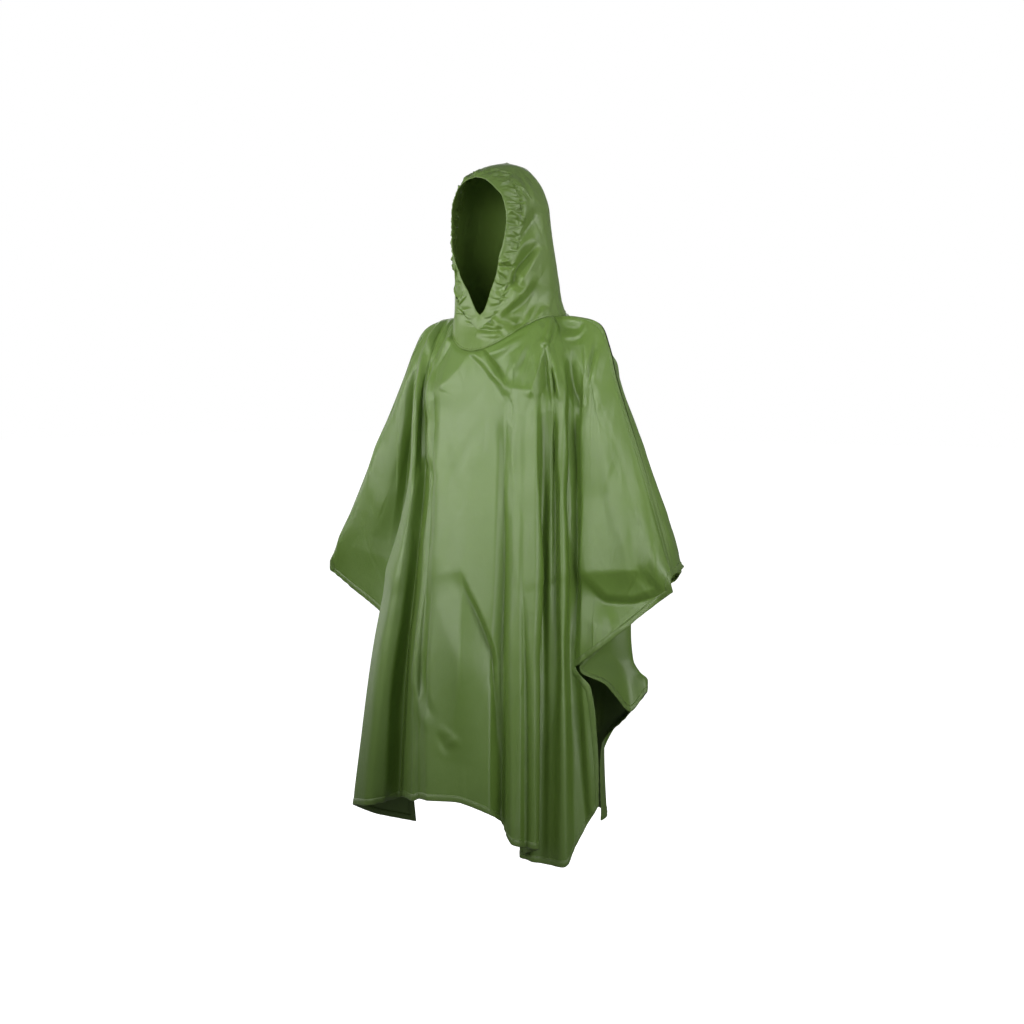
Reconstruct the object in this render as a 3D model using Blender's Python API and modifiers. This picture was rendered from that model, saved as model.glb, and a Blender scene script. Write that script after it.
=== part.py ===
"""Hooded rain poncho as it is worn: front and back panels, a hood of two halves and its elastic channel.

Frame: metres, +Z up. The origin is in the neck, at the height of the shoulders. The wearer faces -Y, and
the wearer's left is +X.
"""
import math

import bpy
import numpy as np

# ---------------------------------------------------------------- driving dimensions
WALL = 0.0015            # thickness of the coated cloth wall
CHANNEL_WALL = 0.0022    # thickness of the folded elastic channel
SEAM_GAP = 0.0003        # clearance between two pieces along a seam
SEAM_HALF_SHIFT = 0.00017  # each panel's edge stands this far from the line of the shoulder seam
NECK_LIFT = 0.0026       # how far the hood's lower edge stands above the panels' neck edge

NECK_HALF_WIDTH = 0.105
NECK_HALF_DEPTH = 0.120
NECK_CENTRE_Y = -0.008
NECK_FRONT_DROP = 0.068  # the neck seam dips at the throat
NECK_BACK_RISE = 0.018

SNAP_ROW = 0.68          # share of a panel's height at which the side edges come together
SHOULDER_REACH = 0.20    # height over which the cloth turns from the shoulder into its fall
SHOULDER_SPREAD = 0.35   # how much the fold lines spread out where they leave the shoulders
FOLD_OPENING = 0.22      # height over which the folds open below the top edge
CHEST_Z = -0.25          # heights between which the folds change from the chest's shape to the hem's
HEM_Z = -0.95
TOP_EDGE_HOLD = 0.12     # share of the height over which a panel keeps the curve of its top edge
SEAM_ROLL = 0.045        # how far the cloth rolls over the arm before it falls
SEAM_SWELL = 0.030       # and how far it stands out behind the seam half way down the arm

ROWS_ABOVE_SNAP = 16
ROWS_BELOW_SNAP = 8
COLUMNS_PER_FOLD = 3
SLEEVE_COLUMNS = 8

GATHERS_PER_SIDE = 26    # gathers of the elastic channel on each side of the face
POINTS_PER_GATHER = 4
GATHER_HEIGHT = 0.0034
CHANNEL_COLUMNS = 2
HOOD_COLUMNS = 15
THROAT_ROWS = 2
CROWN_ROWS = 3

GREEN = (0.135, 0.205, 0.070)
GREEN_HOOD = (0.130, 0.200, 0.068)
GREEN_CHANNEL = (0.115, 0.180, 0.060)

# The arm seams from the side of the neck to the wrist.
SEAM_COLUMNS = ("name", "x", "y", "z")
SEAM_LEFT = (
    ("neck side",      0.105, -0.008,  0.000),
    ("shoulder top",   0.165, -0.012, -0.002),
    ("shoulder point", 0.228, -0.018, -0.018),
    ("deltoid",        0.254, -0.026, -0.058),
    ("upper arm",      0.279, -0.034, -0.125),
    ("elbow",          0.354, -0.046, -0.300),
    ("wrist",          0.424, -0.060, -0.482),
)
SEAM_RIGHT = (
    ("neck side",      -0.105, -0.008,  0.000),
    ("shoulder top",   -0.160, -0.012, -0.003),
    ("shoulder point", -0.212, -0.018, -0.024),
    ("deltoid",        -0.232, -0.026, -0.062),
    ("upper arm",      -0.256, -0.034, -0.125),
    ("elbow",          -0.337, -0.048, -0.300),
    ("wrist",          -0.424, -0.062, -0.494),
)

# Outline of the body cloth between its folds: half width and depth of an oval at each height.
BODY_COLUMNS = ("height", "half_width", "front_depth", "back_depth", "back_half_width")
BODY = (
    (0.00,  0.205, 0.115, 0.095, 0.205),
    (-0.08, 0.228, 0.140, 0.118, 0.225),
    (-0.16, 0.236, 0.155, 0.130, 0.236),
    (-0.30, 0.240, 0.170, 0.135, 0.242),
    (-0.50, 0.262, 0.200, 0.142, 0.245),
    (-0.65, 0.280, 0.230, 0.148, 0.225),
    (-0.82, 0.296, 0.252, 0.146, 0.186),
    (-1.05, 0.315, 0.275, 0.156, 0.176),
)

# Folds of the front panel from the wearer's right to left. "top" runs along the top edge: -0.5 to 0.5
# is the neck, beyond it the shoulder seam. Turns are in degrees from the centre front, and "out" is the
# share of the oval's radius by which a fold stands out or sinks in.
FOLD_COLUMNS = ("name", "top", "turn_chest", "turn_hem", "out_chest", "out_hem", "hem_z")
FRONT_FOLDS = (
    ("right tuck",         -0.90, -62.0, -70.0, -0.10, -0.03, -1.022),
    ("right fold",         -0.80, -44.0, -52.0,  0.02,  0.10, -0.984),
    ("right roll",         -0.70, -33.0, -36.5,  0.01,  0.04, -0.968),
    ("right valley",       -0.61, -36.0, -38.5, -0.12, -0.20, -0.956),
    ("right wall",         -0.52, -26.0, -24.0, -0.07, -0.15, -0.944),
    ("right slope fold",   -0.42, -21.0,  -7.5,  0.00, -0.02, -0.934),
    ("right slope crease", -0.29, -18.5,  -5.0, -0.03, -0.03, -0.928),
    ("right pleat",        -0.16, -12.0,   2.0,  0.02,  0.04, -0.924),
    ("belly",              -0.04,   4.0,  14.0,  0.01,  0.00, -0.922),
    ("centre fold",         0.06,  21.0,  25.5,  0.02,  0.02, -0.938),
    ("centre crease",       0.13,  25.5,  30.0, -0.01, -0.08, -0.958),
    ("left pleat one",      0.21,  30.5,  34.0,  0.01,  0.05, -0.990),
    ("left shallow",        0.29,  35.0,  38.5,  0.00,  0.01, -0.997),
    ("left pleat two",      0.36,  40.5,  42.5,  0.03,  0.05, -0.998),
    ("left hidden turn",    0.42,  49.0,  37.0, -0.06, -0.14, -1.026),
    ("left corner fold",    0.50,  54.5,  53.5,  0.03,  0.02, -1.036),
    ("left edge valley",    0.66,  59.0,  58.5, -0.05, -0.03, -1.004),
)
BACK_FOLDS = (
    ("left blade",         -0.62, 121.0, 133.0,  0.03,  0.05, -0.985),
    ("left back valley",   -0.44, 133.0, 142.0, -0.06, -0.17, -0.978),
    ("left back fold",     -0.30, 146.0, 152.0,  0.03,  0.14, -0.975),
    ("back valley one",    -0.16, 158.0, 162.0, -0.05, -0.17, -0.970),
    ("back centre fold",    0.00, 175.0, 174.0,  0.03,  0.13, -0.968),
    ("back valley two",     0.15, 192.0, 188.0, -0.04, -0.19, -0.970),
    ("right back fold",     0.30, 208.0, 204.0,  0.03,  0.14, -0.975),
    ("right back valley",   0.45, 223.0, 222.0, -0.06, -0.17, -0.980),
    ("right blade",         0.64, 238.0, 240.0,  0.03,  0.10, -0.985),
)

# Side edges, from the shoulder down to the hem: the valley between arm and body as far as the row where
# the edges come together, and the free edge below it. "share" is the share of the panel's height.
EDGE_COLUMNS = ("share", "x", "y", "z")
FRONT_EDGE_LEFT = (
    (0.00, 0.228, -0.018, -0.018),
    (0.10, 0.217, -0.056, -0.100),
    (0.32, 0.221, -0.066, -0.300),
    (0.53, 0.231, -0.084, -0.500),
    (0.68, 0.241, -0.116, -0.664),
    (0.73, 0.276, -0.114, -0.700),
    (0.80, 0.286, -0.110, -0.765),
    (0.90, 0.289, -0.105, -0.845),
    (1.00, 0.287, -0.102, -0.925),
)
FRONT_EDGE_RIGHT = (
    (0.00, -0.212, -0.018, -0.024),
    (0.10, -0.208, -0.046, -0.100),
    (0.32, -0.208, -0.036, -0.300),
    (0.53, -0.218, -0.042, -0.490),
    (0.68, -0.234, -0.058, -0.640),
    (0.78, -0.240, -0.056, -0.750),
    (0.90, -0.232, -0.050, -0.880),
    (1.00, -0.216, -0.046, -1.036),
)
BACK_EDGE_LEFT = (
    (0.00, 0.228, -0.018, -0.018),
    (0.10, 0.222,  0.020, -0.100),
    (0.32, 0.244,  0.040, -0.300),
    (0.53, 0.258,  0.010, -0.500),
    (0.68, 0.246, -0.109, -0.669),
    (0.72, 0.272, -0.060, -0.702),
    (0.76, 0.282,  0.008, -0.762),
    (0.81, 0.301,  0.036, -0.725),
    (0.87, 0.240,  0.052, -0.785),
    (0.92, 0.190,  0.042, -0.845),
    (1.00, 0.178,  0.058, -0.998),
)
BACK_CREASE_LEFT = (
    (0.00, 0.200, -0.023, -0.016),
    (0.10, 0.218,  0.048, -0.100),
    (0.32, 0.234,  0.066, -0.300),
    (0.53, 0.244,  0.046, -0.500),
    (0.68, 0.246, -0.010, -0.640),
    (0.72, 0.254,  0.006, -0.668),
    (0.76, 0.272,  0.024, -0.694),
    (0.81, 0.299,  0.042, -0.713),
    (0.87, 0.236,  0.060, -0.778),
    (0.92, 0.184,  0.058, -0.840),
    (1.00, 0.180,  0.076, -0.994),
)
BACK_RUFFLE_LEFT = (
    (0.00, 0.176, -0.019, -0.006),
    (0.10, 0.204,  0.072, -0.100),
    (0.32, 0.220,  0.092, -0.300),
    (0.53, 0.248,  0.068, -0.500),
    (0.68, 0.264,  0.040, -0.640),
    (0.72, 0.268,  0.041, -0.668),
    (0.76, 0.281,  0.043, -0.688),
    (0.81, 0.296,  0.048, -0.703),
    (0.87, 0.228,  0.074, -0.772),
    (0.92, 0.170,  0.082, -0.836),
    (1.00, 0.164,  0.099, -0.990),
)
BACK_EDGE_RIGHT = (
    (0.00, -0.212, -0.018, -0.024),
    (0.10, -0.222,  0.020, -0.100),
    (0.32, -0.244,  0.040, -0.300),
    (0.53, -0.254,  0.010, -0.490),
    (0.68, -0.238, -0.051, -0.645),
    (0.78, -0.240, -0.020, -0.750),
    (0.90, -0.224,  0.020, -0.880),
    (1.00, -0.205,  0.050, -0.992),
)
# Lower corners of the sleeve edges, at the wrist.
CUFF = {
    "front left": (0.430, -0.068, -0.512),
    "front right": (-0.434, -0.066, -0.524),
    "back left": (0.394, 0.002, -0.491),
    "back right": (-0.402, 0.004, -0.508),
}

# Hood: ovals from the neck seam up to the crown.
HOOD_COLUMN_NAMES = ("share", "height", "half_width", "half_depth", "centre_y", "throat_tuck")
HOOD = (
    (0.00, 0.000, 0.105, 0.120, -0.008, 0.000),
    (0.15, 0.030, 0.098, 0.117, -0.013, 0.030),
    (0.30, 0.080, 0.092, 0.115, -0.020, 0.034),
    (0.50, 0.150, 0.087, 0.112, -0.032, 0.010),
    (0.65, 0.205, 0.085, 0.110, -0.035, 0.000),
    (0.78, 0.245, 0.074, 0.098, -0.034, 0.000),
    (0.88, 0.275, 0.054, 0.073, -0.028, 0.000),
    (0.95, 0.293, 0.031, 0.042, -0.022, 0.000),
    (1.00, 0.302, 0.000, 0.000, -0.018, 0.000),
)
THROAT_NARROWNESS = 6  # how closely the throat's tuck keeps to the centre front

# Face opening on the hood, from the tip under the chin up to the forehead: the channel's inner and outer
# edges, each as a turn from the centre front and a share of the hood's height.
RIM_COLUMNS = ("inner_turn", "inner_share", "outer_turn", "outer_share")
RIM = (
    (0.0,  0.140, 0.0,  0.085),
    (8.5,  0.168, 22.5, 0.138),
    (28.5, 0.295, 43.5, 0.258),
    (38.0, 0.395, 54.0, 0.368),
    (47.0, 0.485, 62.5, 0.470),
    (52.0, 0.610, 68.0, 0.612),
    (49.0, 0.700, 66.5, 0.725),
    (39.0, 0.775, 57.0, 0.820),
    (22.0, 0.832, 37.0, 0.893),
    (0.0,  0.852, 0.0,  0.918),
)


# ---------------------------------------------------------------- curves and tables
def table_value(table, key, column):
    """Smooth value of one column of a table whose first column rises or falls steadily."""
    keys = np.array([row[0] for row in table])
    values = np.array([row[column] for row in table])
    if keys[0] > keys[-1]:
        keys, values = keys[::-1], values[::-1]
    key = min(max(key, keys[0]), keys[-1])
    k = min(int(np.searchsorted(keys, key, side="right")) - 1, len(keys) - 2)
    k = max(k, 0)
    slopes = np.diff(values) / np.diff(keys)

    def tangent(i):
        if i == 0:
            return slopes[0]
        if i == len(keys) - 1:
            return slopes[-1]
        if slopes[i - 1] * slopes[i] <= 0.0:
            return 0.0
        return 2.0 * slopes[i - 1] * slopes[i] / (slopes[i - 1] + slopes[i])

    span = keys[k + 1] - keys[k]
    f = (key - keys[k]) / span
    return (
        (1 + 2 * f) * (1 - f) ** 2 * values[k]
        + f * (1 - f) ** 2 * span * tangent(k)
        + f * f * (3 - 2 * f) * values[k + 1]
        + f * f * (f - 1) * span * tangent(k + 1)
    )


def spline(points, count):
    """Points along a smooth curve through the given ones, with `count` steps between neighbours."""
    points = [np.asarray(p, float) for p in points]
    ends = [2 * points[0] - points[1]] + points + [2 * points[-1] - points[-2]]
    samples = [points[0]]
    for k in range(len(points) - 1):
        p0, p1, p2, p3 = ends[k:k + 4]
        d1 = max(np.linalg.norm(p1 - p0), 1e-6) ** 0.5
        d2 = max(np.linalg.norm(p2 - p1), 1e-6) ** 0.5
        d3 = max(np.linalg.norm(p3 - p2), 1e-6) ** 0.5
        m1 = p2 - p1 + d2 * ((p1 - p0) / d1 - (p2 - p0) / (d1 + d2))
        m2 = p2 - p1 + d2 * ((p3 - p2) / d3 - (p3 - p1) / (d2 + d3))
        for step in range(1, count + 1):
            f = step / count
            samples.append(
                (1 + 2 * f) * (1 - f) ** 2 * p1
                + f * (1 - f) ** 2 * m1
                + f * f * (3 - 2 * f) * p2
                + f * f * (f - 1) * m2
            )
    return samples


def along(points, share):
    """Point at a share of a polyline's length."""
    points = np.asarray(points)
    steps = np.linalg.norm(np.diff(points, axis=0), axis=1)
    reach = np.concatenate([[0.0], np.cumsum(steps)])
    at = share * reach[-1]
    return np.array([np.interp(at, reach, points[:, axis]) for axis in range(3)])


def edge_point(table, share):
    return np.array([table_value(table, share, column) for column in (1, 2, 3)])


# ---------------------------------------------------------------- body panels
def seam_curve(table):
    return np.array(spline([row[1:] for row in table], 12))


SEAM_CURVES = {1: seam_curve(SEAM_LEFT), -1: seam_curve(SEAM_RIGHT)}


def seam_between(start, end, share, side):
    """Point between two named rows of an arm seam; the side is 1 for the wearer's left, -1 for the right."""
    names = [row[0] for row in SEAM_LEFT]
    return along(SEAM_CURVES[side][names.index(start) * 12:names.index(end) * 12 + 1], share)


def neck_point(turn, lift=0.0):
    """Point of the neck seam; the turn is 0 at the centre front and 180 at the centre back."""
    turn = math.radians(turn)
    forward = math.cos(turn)
    drop = -NECK_FRONT_DROP * forward ** 2 if forward > 0 else NECK_BACK_RISE * forward ** 2
    return np.array([
        NECK_HALF_WIDTH * math.sin(turn),
        NECK_CENTRE_Y - NECK_HALF_DEPTH * forward,
        drop + lift,
    ])


def body_oval(z, turn, out):
    """Point of the body cloth's oval at a height."""
    turn = math.radians(turn)
    back = math.cos(turn) < 0
    width = table_value(BODY, z, 4 if back else 1)
    depth = table_value(BODY, z, 3 if back else 2)
    return np.array([
        width * math.sin(turn) * (1 + out),
        -depth * math.cos(turn) * (1 + out),
    ])


def top_point(top, back):
    """Point of a panel's top edge: the neck between -0.5 and 0.5, the shoulder seam beyond."""
    shift = np.array([0.0, SEAM_HALF_SHIFT if back else -SEAM_HALF_SHIFT, 0.0])
    if abs(top) <= 0.5:
        return neck_point(180.0 * (top + back)) + shift
    side = 1 if (top > 0) != back else -1
    return seam_between("neck side", "shoulder point", (abs(top) - 0.5) / 0.5, side) + shift


def fold_point(fold, share, back):
    """Point of one fold line at a share of the panel's height."""
    _, top, turn_chest, turn_hem, out_chest, out_hem, hem_z = fold
    start = top_point(top, back)
    z = start[2] + (hem_z - start[2]) * share
    fall = min(max((CHEST_Z - z) / (CHEST_Z - HEM_Z), 0.0), 1.0)
    opened = min(max((start[2] - z) / FOLD_OPENING, 0.0), 1.0)
    left_over = 1.0 - math.sqrt(1.0 - (1.0 - min((start[2] - z) / SHOULDER_REACH, 1.0)) ** 2)
    turn = turn_chest + (turn_hem - turn_chest) * fall
    start_turn = 180.0 * (min(max(top, -0.5), 0.5) + back)
    turn += (start_turn - turn) * SHOULDER_SPREAD * left_over
    oval = body_oval(z, turn, (out_chest + (out_hem - out_chest) * fall) * opened)
    return np.array([*(oval + (start[:2] - oval) * left_over), z])


def row_shares():
    """Shares of the panel's height for its rows, closer together near the shoulders."""
    above = [SNAP_ROW * (i / ROWS_ABOVE_SNAP) ** 1.8 for i in range(ROWS_ABOVE_SNAP + 1)]
    below = [SNAP_ROW + (1 - SNAP_ROW) * i / ROWS_BELOW_SNAP for i in range(1, ROWS_BELOW_SNAP + 1)]
    return above + below


def sleeve_point(reach, share, inner, row, cuff, side, back):
    """Point of a sleeve: `reach` runs from the body to the wrist, `share` from the seam to the edge.

    `inner` is the body's column beside the sleeve, from the shoulder to where the side edges meet.
    """
    direction = 1.0 if back else -1.0

    def curve(reach_here):
        seam = seam_between("shoulder point", "wrist", reach_here, side)
        seam = seam + np.array([0.0, direction * SEAM_HALF_SHIFT, 0.0])
        edge = inner[-1] + (np.array(cuff) - inner[-1]) * reach_here
        fall = np.linalg.norm(edge - seam)
        roll = min(SEAM_ROLL, 0.45 * fall)
        swell = SEAM_SWELL * math.sin(math.pi * reach_here)
        over = seam + np.array([side * direction * swell, direction * roll, direction * 0.006])
        bulge = 0.085 if back else 0.012
        low = edge + np.array([0.0, direction * bulge * (1 - 0.6 * reach_here), 0.35 * fall])
        f = share
        return (1 - f) ** 3 * seam + 3 * f * (1 - f) ** 2 * over + 3 * f * f * (1 - f) * low + f ** 3 * edge

    return curve(reach) + (inner[row] - curve(0.0)) * (1 - reach) ** 2.2


def add_quads(faces, grid):
    for upper, lower in zip(grid, grid[1:]):
        for k in range(len(upper) - 1):
            faces.append((upper[k], lower[k], lower[k + 1], upper[k + 1]))


def body_panel(lines, tops, cuffs, back):
    """Points and faces of a panel: body columns between the two side edges, and a sleeve beyond each.

    `lines` give the fold lines as functions of the share of the height, `tops` their places on the top
    edge, and `cuffs` the lower corner of each sleeve, on the side of the first and of the last line.
    """
    shares = row_shares()
    columns = np.arange((len(tops) - 1) * COLUMNS_PER_FOLD + 1) / COLUMNS_PER_FOLD
    places = np.interp(columns, np.arange(len(tops)), tops)
    top_edge = np.array([top_point(place, back) for place in places])
    slack = top_edge - spline([line(0.0) for line in lines], COLUMNS_PER_FOLD)
    points, faces, grid = [], [], []
    for share in shares:
        held = max(1.0 - share / TOP_EDGE_HOLD, 0.0) ** 2
        section = spline([line(share) for line in lines], COLUMNS_PER_FOLD) + slack * held
        grid.append(list(range(len(points), len(points) + len(section))))
        points.extend(section)
    add_quads(faces, grid)
    for column, cuff in ((0, cuffs[0]), (-1, cuffs[1])):
        side = 1 if cuff[0] > 0 else -1
        inner = [points[row[column]] for row in grid[:ROWS_ABOVE_SNAP + 1]]
        sleeve = [[row[column]] for row in grid[:ROWS_ABOVE_SNAP + 1]]
        for step in range(1, SLEEVE_COLUMNS + 1):
            for row, line in enumerate(sleeve):
                line.append(len(points))
                points.append(sleeve_point(step / SLEEVE_COLUMNS, shares[row] / SNAP_ROW,
                                           inner, row, cuff, side, back))
        if column == 0:
            sleeve = [line[::-1] for line in sleeve]
        add_quads(faces, sleeve)
    return points, faces


def edge_line(table):
    return lambda share: edge_point(table, share)


def fold_lines(folds, back):
    return [lambda share, fold=fold: fold_point(fold, share, back) for fold in folds]


def front_panel():
    lines = [edge_line(FRONT_EDGE_RIGHT), *fold_lines(FRONT_FOLDS, False), edge_line(FRONT_EDGE_LEFT)]
    tops = [-1.0, *(fold[1] for fold in FRONT_FOLDS), 1.0]
    return body_panel(lines, tops, (CUFF["front right"], CUFF["front left"]), False)


def back_panel():
    ruffle = [edge_line(table) for table in (BACK_EDGE_LEFT, BACK_CREASE_LEFT, BACK_RUFFLE_LEFT)]
    lines = [*ruffle, *fold_lines(BACK_FOLDS, True), edge_line(BACK_EDGE_RIGHT)]
    tops = [-1.0, -0.88, -0.76, *(fold[1] for fold in BACK_FOLDS), 1.0]
    return body_panel(lines, tops, (CUFF["back left"], CUFF["back right"]), True)


# ---------------------------------------------------------------- hood
def hood_point(turn, share, side=1.0, gap=0.0):
    """Point of the hood: a turn in degrees from the centre front, and a share of its height."""
    height, width, depth, centre, tuck = (table_value(HOOD, share, column) for column in (1, 2, 3, 4, 5))
    angle = math.radians(turn)
    at_neck = max(1.0 - share / 0.22, 0.0)
    z = height + (neck_point(turn)[2] + NECK_LIFT) * at_neck
    y = centre - depth * math.cos(angle) + tuck * max(math.cos(angle), 0.0) ** THROAT_NARROWNESS
    return np.array([side * (width * math.sin(angle) + gap), y, z])


def rim_stations():
    """Inner and outer turn and share at each gather, evenly spaced from the tip to the forehead."""
    dense = np.array(spline([np.array(row) for row in RIM], 12))
    middle = np.array([hood_point((row[0] + row[2]) / 2, (row[1] + row[3]) / 2) for row in dense])
    reach = np.concatenate([[0.0], np.cumsum(np.linalg.norm(np.diff(middle, axis=0), axis=1))])
    even = np.linspace(0.0, reach[-1], GATHERS_PER_SIDE + 1)
    return np.array([[np.interp(at, reach, dense[:, column]) for column in range(4)] for at in even])


def hood_half(side):
    """Points and faces of one hood half, between the channel, the neck seam and the centre seam."""
    stations = rim_stations()
    starts = [(0.0, stations[0][3] * row / THROAT_ROWS) for row in range(THROAT_ROWS)]
    starts += [(max(row[2], 0.0), row[3]) for row in stations]
    top = stations[-1][3]
    starts += [(0.0, top + (0.985 - top) * row / CROWN_ROWS) for row in range(1, CROWN_ROWS + 1)]
    points, grid = [], []
    for start, share in starts:
        turns = np.linspace(start, 180.0, HOOD_COLUMNS + 1)
        grid.append(list(range(len(points), len(points) + len(turns))))
        points.extend(hood_point(turn, share, side, SEAM_GAP / 2) for turn in turns)
    faces = []
    add_quads(faces, grid)
    pole = len(points)
    points.append(hood_point(0.0, 1.0, side, SEAM_GAP / 2))
    last = grid[-1]
    faces.extend((last[k + 1], last[k], pole) for k in range(len(last) - 1))
    if side > 0:
        faces = [face[::-1] for face in faces]
    return points, faces


def face_channel():
    """Points and faces of the gathered channel, a closed ring round the face opening."""
    stations = rim_stations()
    ring = [(1.0, row) for row in stations] + [(-1.0, row) for row in stations[-2:0:-1]]
    edges = []
    for side, (inner_turn, inner_share, outer_turn, outer_share) in ring:
        inner = hood_point(inner_turn, inner_share, side)
        outer = hood_point(outer_turn, outer_share, side)
        edges.append((inner, outer + (inner - outer) * 2 * SEAM_GAP / np.linalg.norm(inner - outer)))
    centre = np.mean([outer for _, outer in edges], axis=0) + np.array([0.0, 0.08, 0.0])
    points, grid = [], []
    for across in range(CHANNEL_COLUMNS + 1):
        share = across / CHANNEL_COLUMNS
        line = []
        for k, (inner, outer) in enumerate(edges):
            inner_next, outer_next = edges[(k + 1) % len(edges)]
            for step in range(POINTS_PER_GATHER):
                f = step / POINTS_PER_GATHER
                point = (inner + (outer - inner) * share) * (1 - f)
                point = point + (inner_next + (outer_next - inner_next) * share) * f
                away = point - centre
                wave = math.cos(2 * math.pi * f) * (0.5, 1.0, 0.0)[across]
                line.append(len(points))
                points.append(point + away / np.linalg.norm(away) * wave * GATHER_HEIGHT)
        grid.append(line + line[:1])
    faces = []
    add_quads(faces, grid)
    return points, faces


# ---------------------------------------------------------------- objects
def material(name, colour, roughness):
    made = bpy.data.materials.new(name)
    made.use_nodes = True
    shader = made.node_tree.nodes["Principled BSDF"]
    shader.inputs["Base Color"].default_value = (*colour, 1.0)
    shader.inputs["Roughness"].default_value = roughness
    shader.inputs["Metallic"].default_value = 0.0
    return made


def cloth_object(name, shape, wall, finish, collection, parent):
    """A sheet of cloth given its wall by Solidify, on its outer side."""
    points, faces = shape
    mesh = bpy.data.meshes.new(name)
    mesh.from_pydata([tuple(map(float, point)) for point in points], [], faces)
    mesh.validate()
    mesh.shade_smooth()
    mesh.materials.append(finish)
    sheet = bpy.data.objects.new(name, mesh)
    collection.objects.link(sheet)
    sheet.parent = parent
    solid = sheet.modifiers.new("wall", "SOLIDIFY")
    solid.thickness = wall
    solid.offset = 1.0
    solid.use_quality_normals = True
    return sheet


def main():
    for old in list(bpy.data.objects):
        bpy.data.objects.remove(old, do_unlink=True)
    collection = bpy.data.collections.new("rain poncho")
    bpy.context.scene.collection.children.link(collection)
    wearer = bpy.data.objects.new("poncho frame", None)
    collection.objects.link(wearer)

    body_cloth = material("coated body cloth", GREEN, 0.34)
    hood_cloth = material("coated hood cloth", GREEN_HOOD, 0.36)
    channel_cloth = material("gathered channel cloth", GREEN_CHANNEL, 0.42)
    pieces = (
        ("front_panel", front_panel(), WALL, body_cloth),
        ("back_panel", back_panel(), WALL, body_cloth),
        ("hood_left", hood_half(1.0), WALL, hood_cloth),
        ("hood_right", hood_half(-1.0), WALL, hood_cloth),
        ("face_channel", face_channel(), CHANNEL_WALL, channel_cloth),
    )
    for name, shape, wall, finish in pieces:
        cloth_object(name, shape, wall, finish, collection, wearer)


main()
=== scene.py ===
"""Hooded rain poncho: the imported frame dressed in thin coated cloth, with creases, sewing, light and camera.

Metres, +Z up. The wearer faces -Y and the wearer's left is +X. The origin is in the neck, at the height of
the shoulders. The cloth repeats the form of the CAD panels from the same tables, on a finer grid.
"""
import math

import bpy
import numpy as np
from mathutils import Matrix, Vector


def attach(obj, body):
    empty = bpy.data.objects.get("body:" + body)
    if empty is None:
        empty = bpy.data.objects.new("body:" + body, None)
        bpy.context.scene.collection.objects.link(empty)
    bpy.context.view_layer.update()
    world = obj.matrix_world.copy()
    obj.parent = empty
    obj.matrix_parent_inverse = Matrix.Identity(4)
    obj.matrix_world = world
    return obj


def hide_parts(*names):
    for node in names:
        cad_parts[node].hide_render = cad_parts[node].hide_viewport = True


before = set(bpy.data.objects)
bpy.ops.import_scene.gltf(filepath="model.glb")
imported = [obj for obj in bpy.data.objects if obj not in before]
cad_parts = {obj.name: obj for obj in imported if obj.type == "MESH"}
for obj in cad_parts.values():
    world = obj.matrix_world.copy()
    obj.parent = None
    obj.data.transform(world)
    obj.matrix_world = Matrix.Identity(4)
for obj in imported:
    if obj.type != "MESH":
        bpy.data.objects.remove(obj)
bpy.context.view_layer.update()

# ---------------------------------------------------------------- the cut and drape, as in the CAD
CLOTH_LIFT = 0.0009      # the cloth lies in the middle of the CAD panels' wall
NECK_LIFT = 0.0012       # how far the hood's lower edge stands above the panels' neck edge
SEAM_HALF_SHIFT = 0.0002  # each panel's edge stands this far from the line of the shoulder seam
SEAM_GAP = 0.0003        # clearance between the two hood halves

NECK_HALF_WIDTH = 0.105
NECK_HALF_DEPTH = 0.120
NECK_CENTRE_Y = -0.008
NECK_FRONT_DROP = 0.068  # the neck seam dips at the throat
NECK_BACK_RISE = 0.018

SNAP_ROW = 0.68          # share of a panel's height at which the side edges come together
SHOULDER_REACH = 0.20    # height over which the cloth turns from the shoulder into its fall
SHOULDER_SPREAD = 0.35   # how much the fold lines spread out where they leave the shoulders
FOLD_OPENING = 0.22      # height over which the folds open below the top edge
CHEST_Z = -0.25          # heights between which the folds change from the chest's shape to the hem's
HEM_Z = -0.95
TOP_EDGE_HOLD = 0.12     # share of the height over which a panel keeps the curve of its top edge
CRISPNESS = 0.55         # share of the straight runs between fold lines in the panels' form
SEAM_ROLL = 0.045        # how far the cloth rolls over the arm before it falls
SEAM_SWELL = 0.030       # and how far it stands out behind the seam half way down the arm
ROLL_LIMIT = 0.45        # largest share of a sleeve's fall that the roll takes
ROLL_RISE = 0.006        # how far the roll stands above the seam behind, or below it in front
BACK_BULGE = 0.085       # how far a sleeve's curve is drawn out above its lower edge, behind and in front
FRONT_BULGE = 0.012
BULGE_TAPER = 0.6        # share by which that becomes less towards the wrist
BULGE_HEIGHT = 0.35      # its height above the lower edge, as a share of the fall
BODY_BLEND = 2.2         # how soon a sleeve leaves the form of the body's edge beside it
GATHERS_PER_SIDE = 26    # the CAD's gathers of the elastic channel on each side of the face
CHANNEL_WIDTH = 0.022

# The grids: spacing of the panels' rows over the shoulders and further down, with the distances down the
# panel between which it changes, and the columns and rows of the other forms.
FINE_STEP = 0.0032
STEP = 0.0064
FINE_REACH = (0.20, 0.30)
COLUMNS_PER_FOLD = 18
SLEEVE_COLUMNS = 120
HOOD_COLUMNS = 110
HOOD_THROAT_ROWS = 10
HOOD_CROWN_ROWS = 24
GATHER_STEPS = 8         # steps along the face opening to each of the CAD's gathers
CROWN_TOP = 0.999        # share of the hood's height of its last row, just short of the tip
RIM_COLUMNS = 12         # columns beside the face opening in which no small crease has its middle
CENTRE_LIFT = 0.3        # share of the cloth's lift that is left at the hood's centre seam
# Steps from one row of RIM to the next and from one point of a crease's path to the next.
RIM_STEPS = 40
PATH_STEPS = 5
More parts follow.
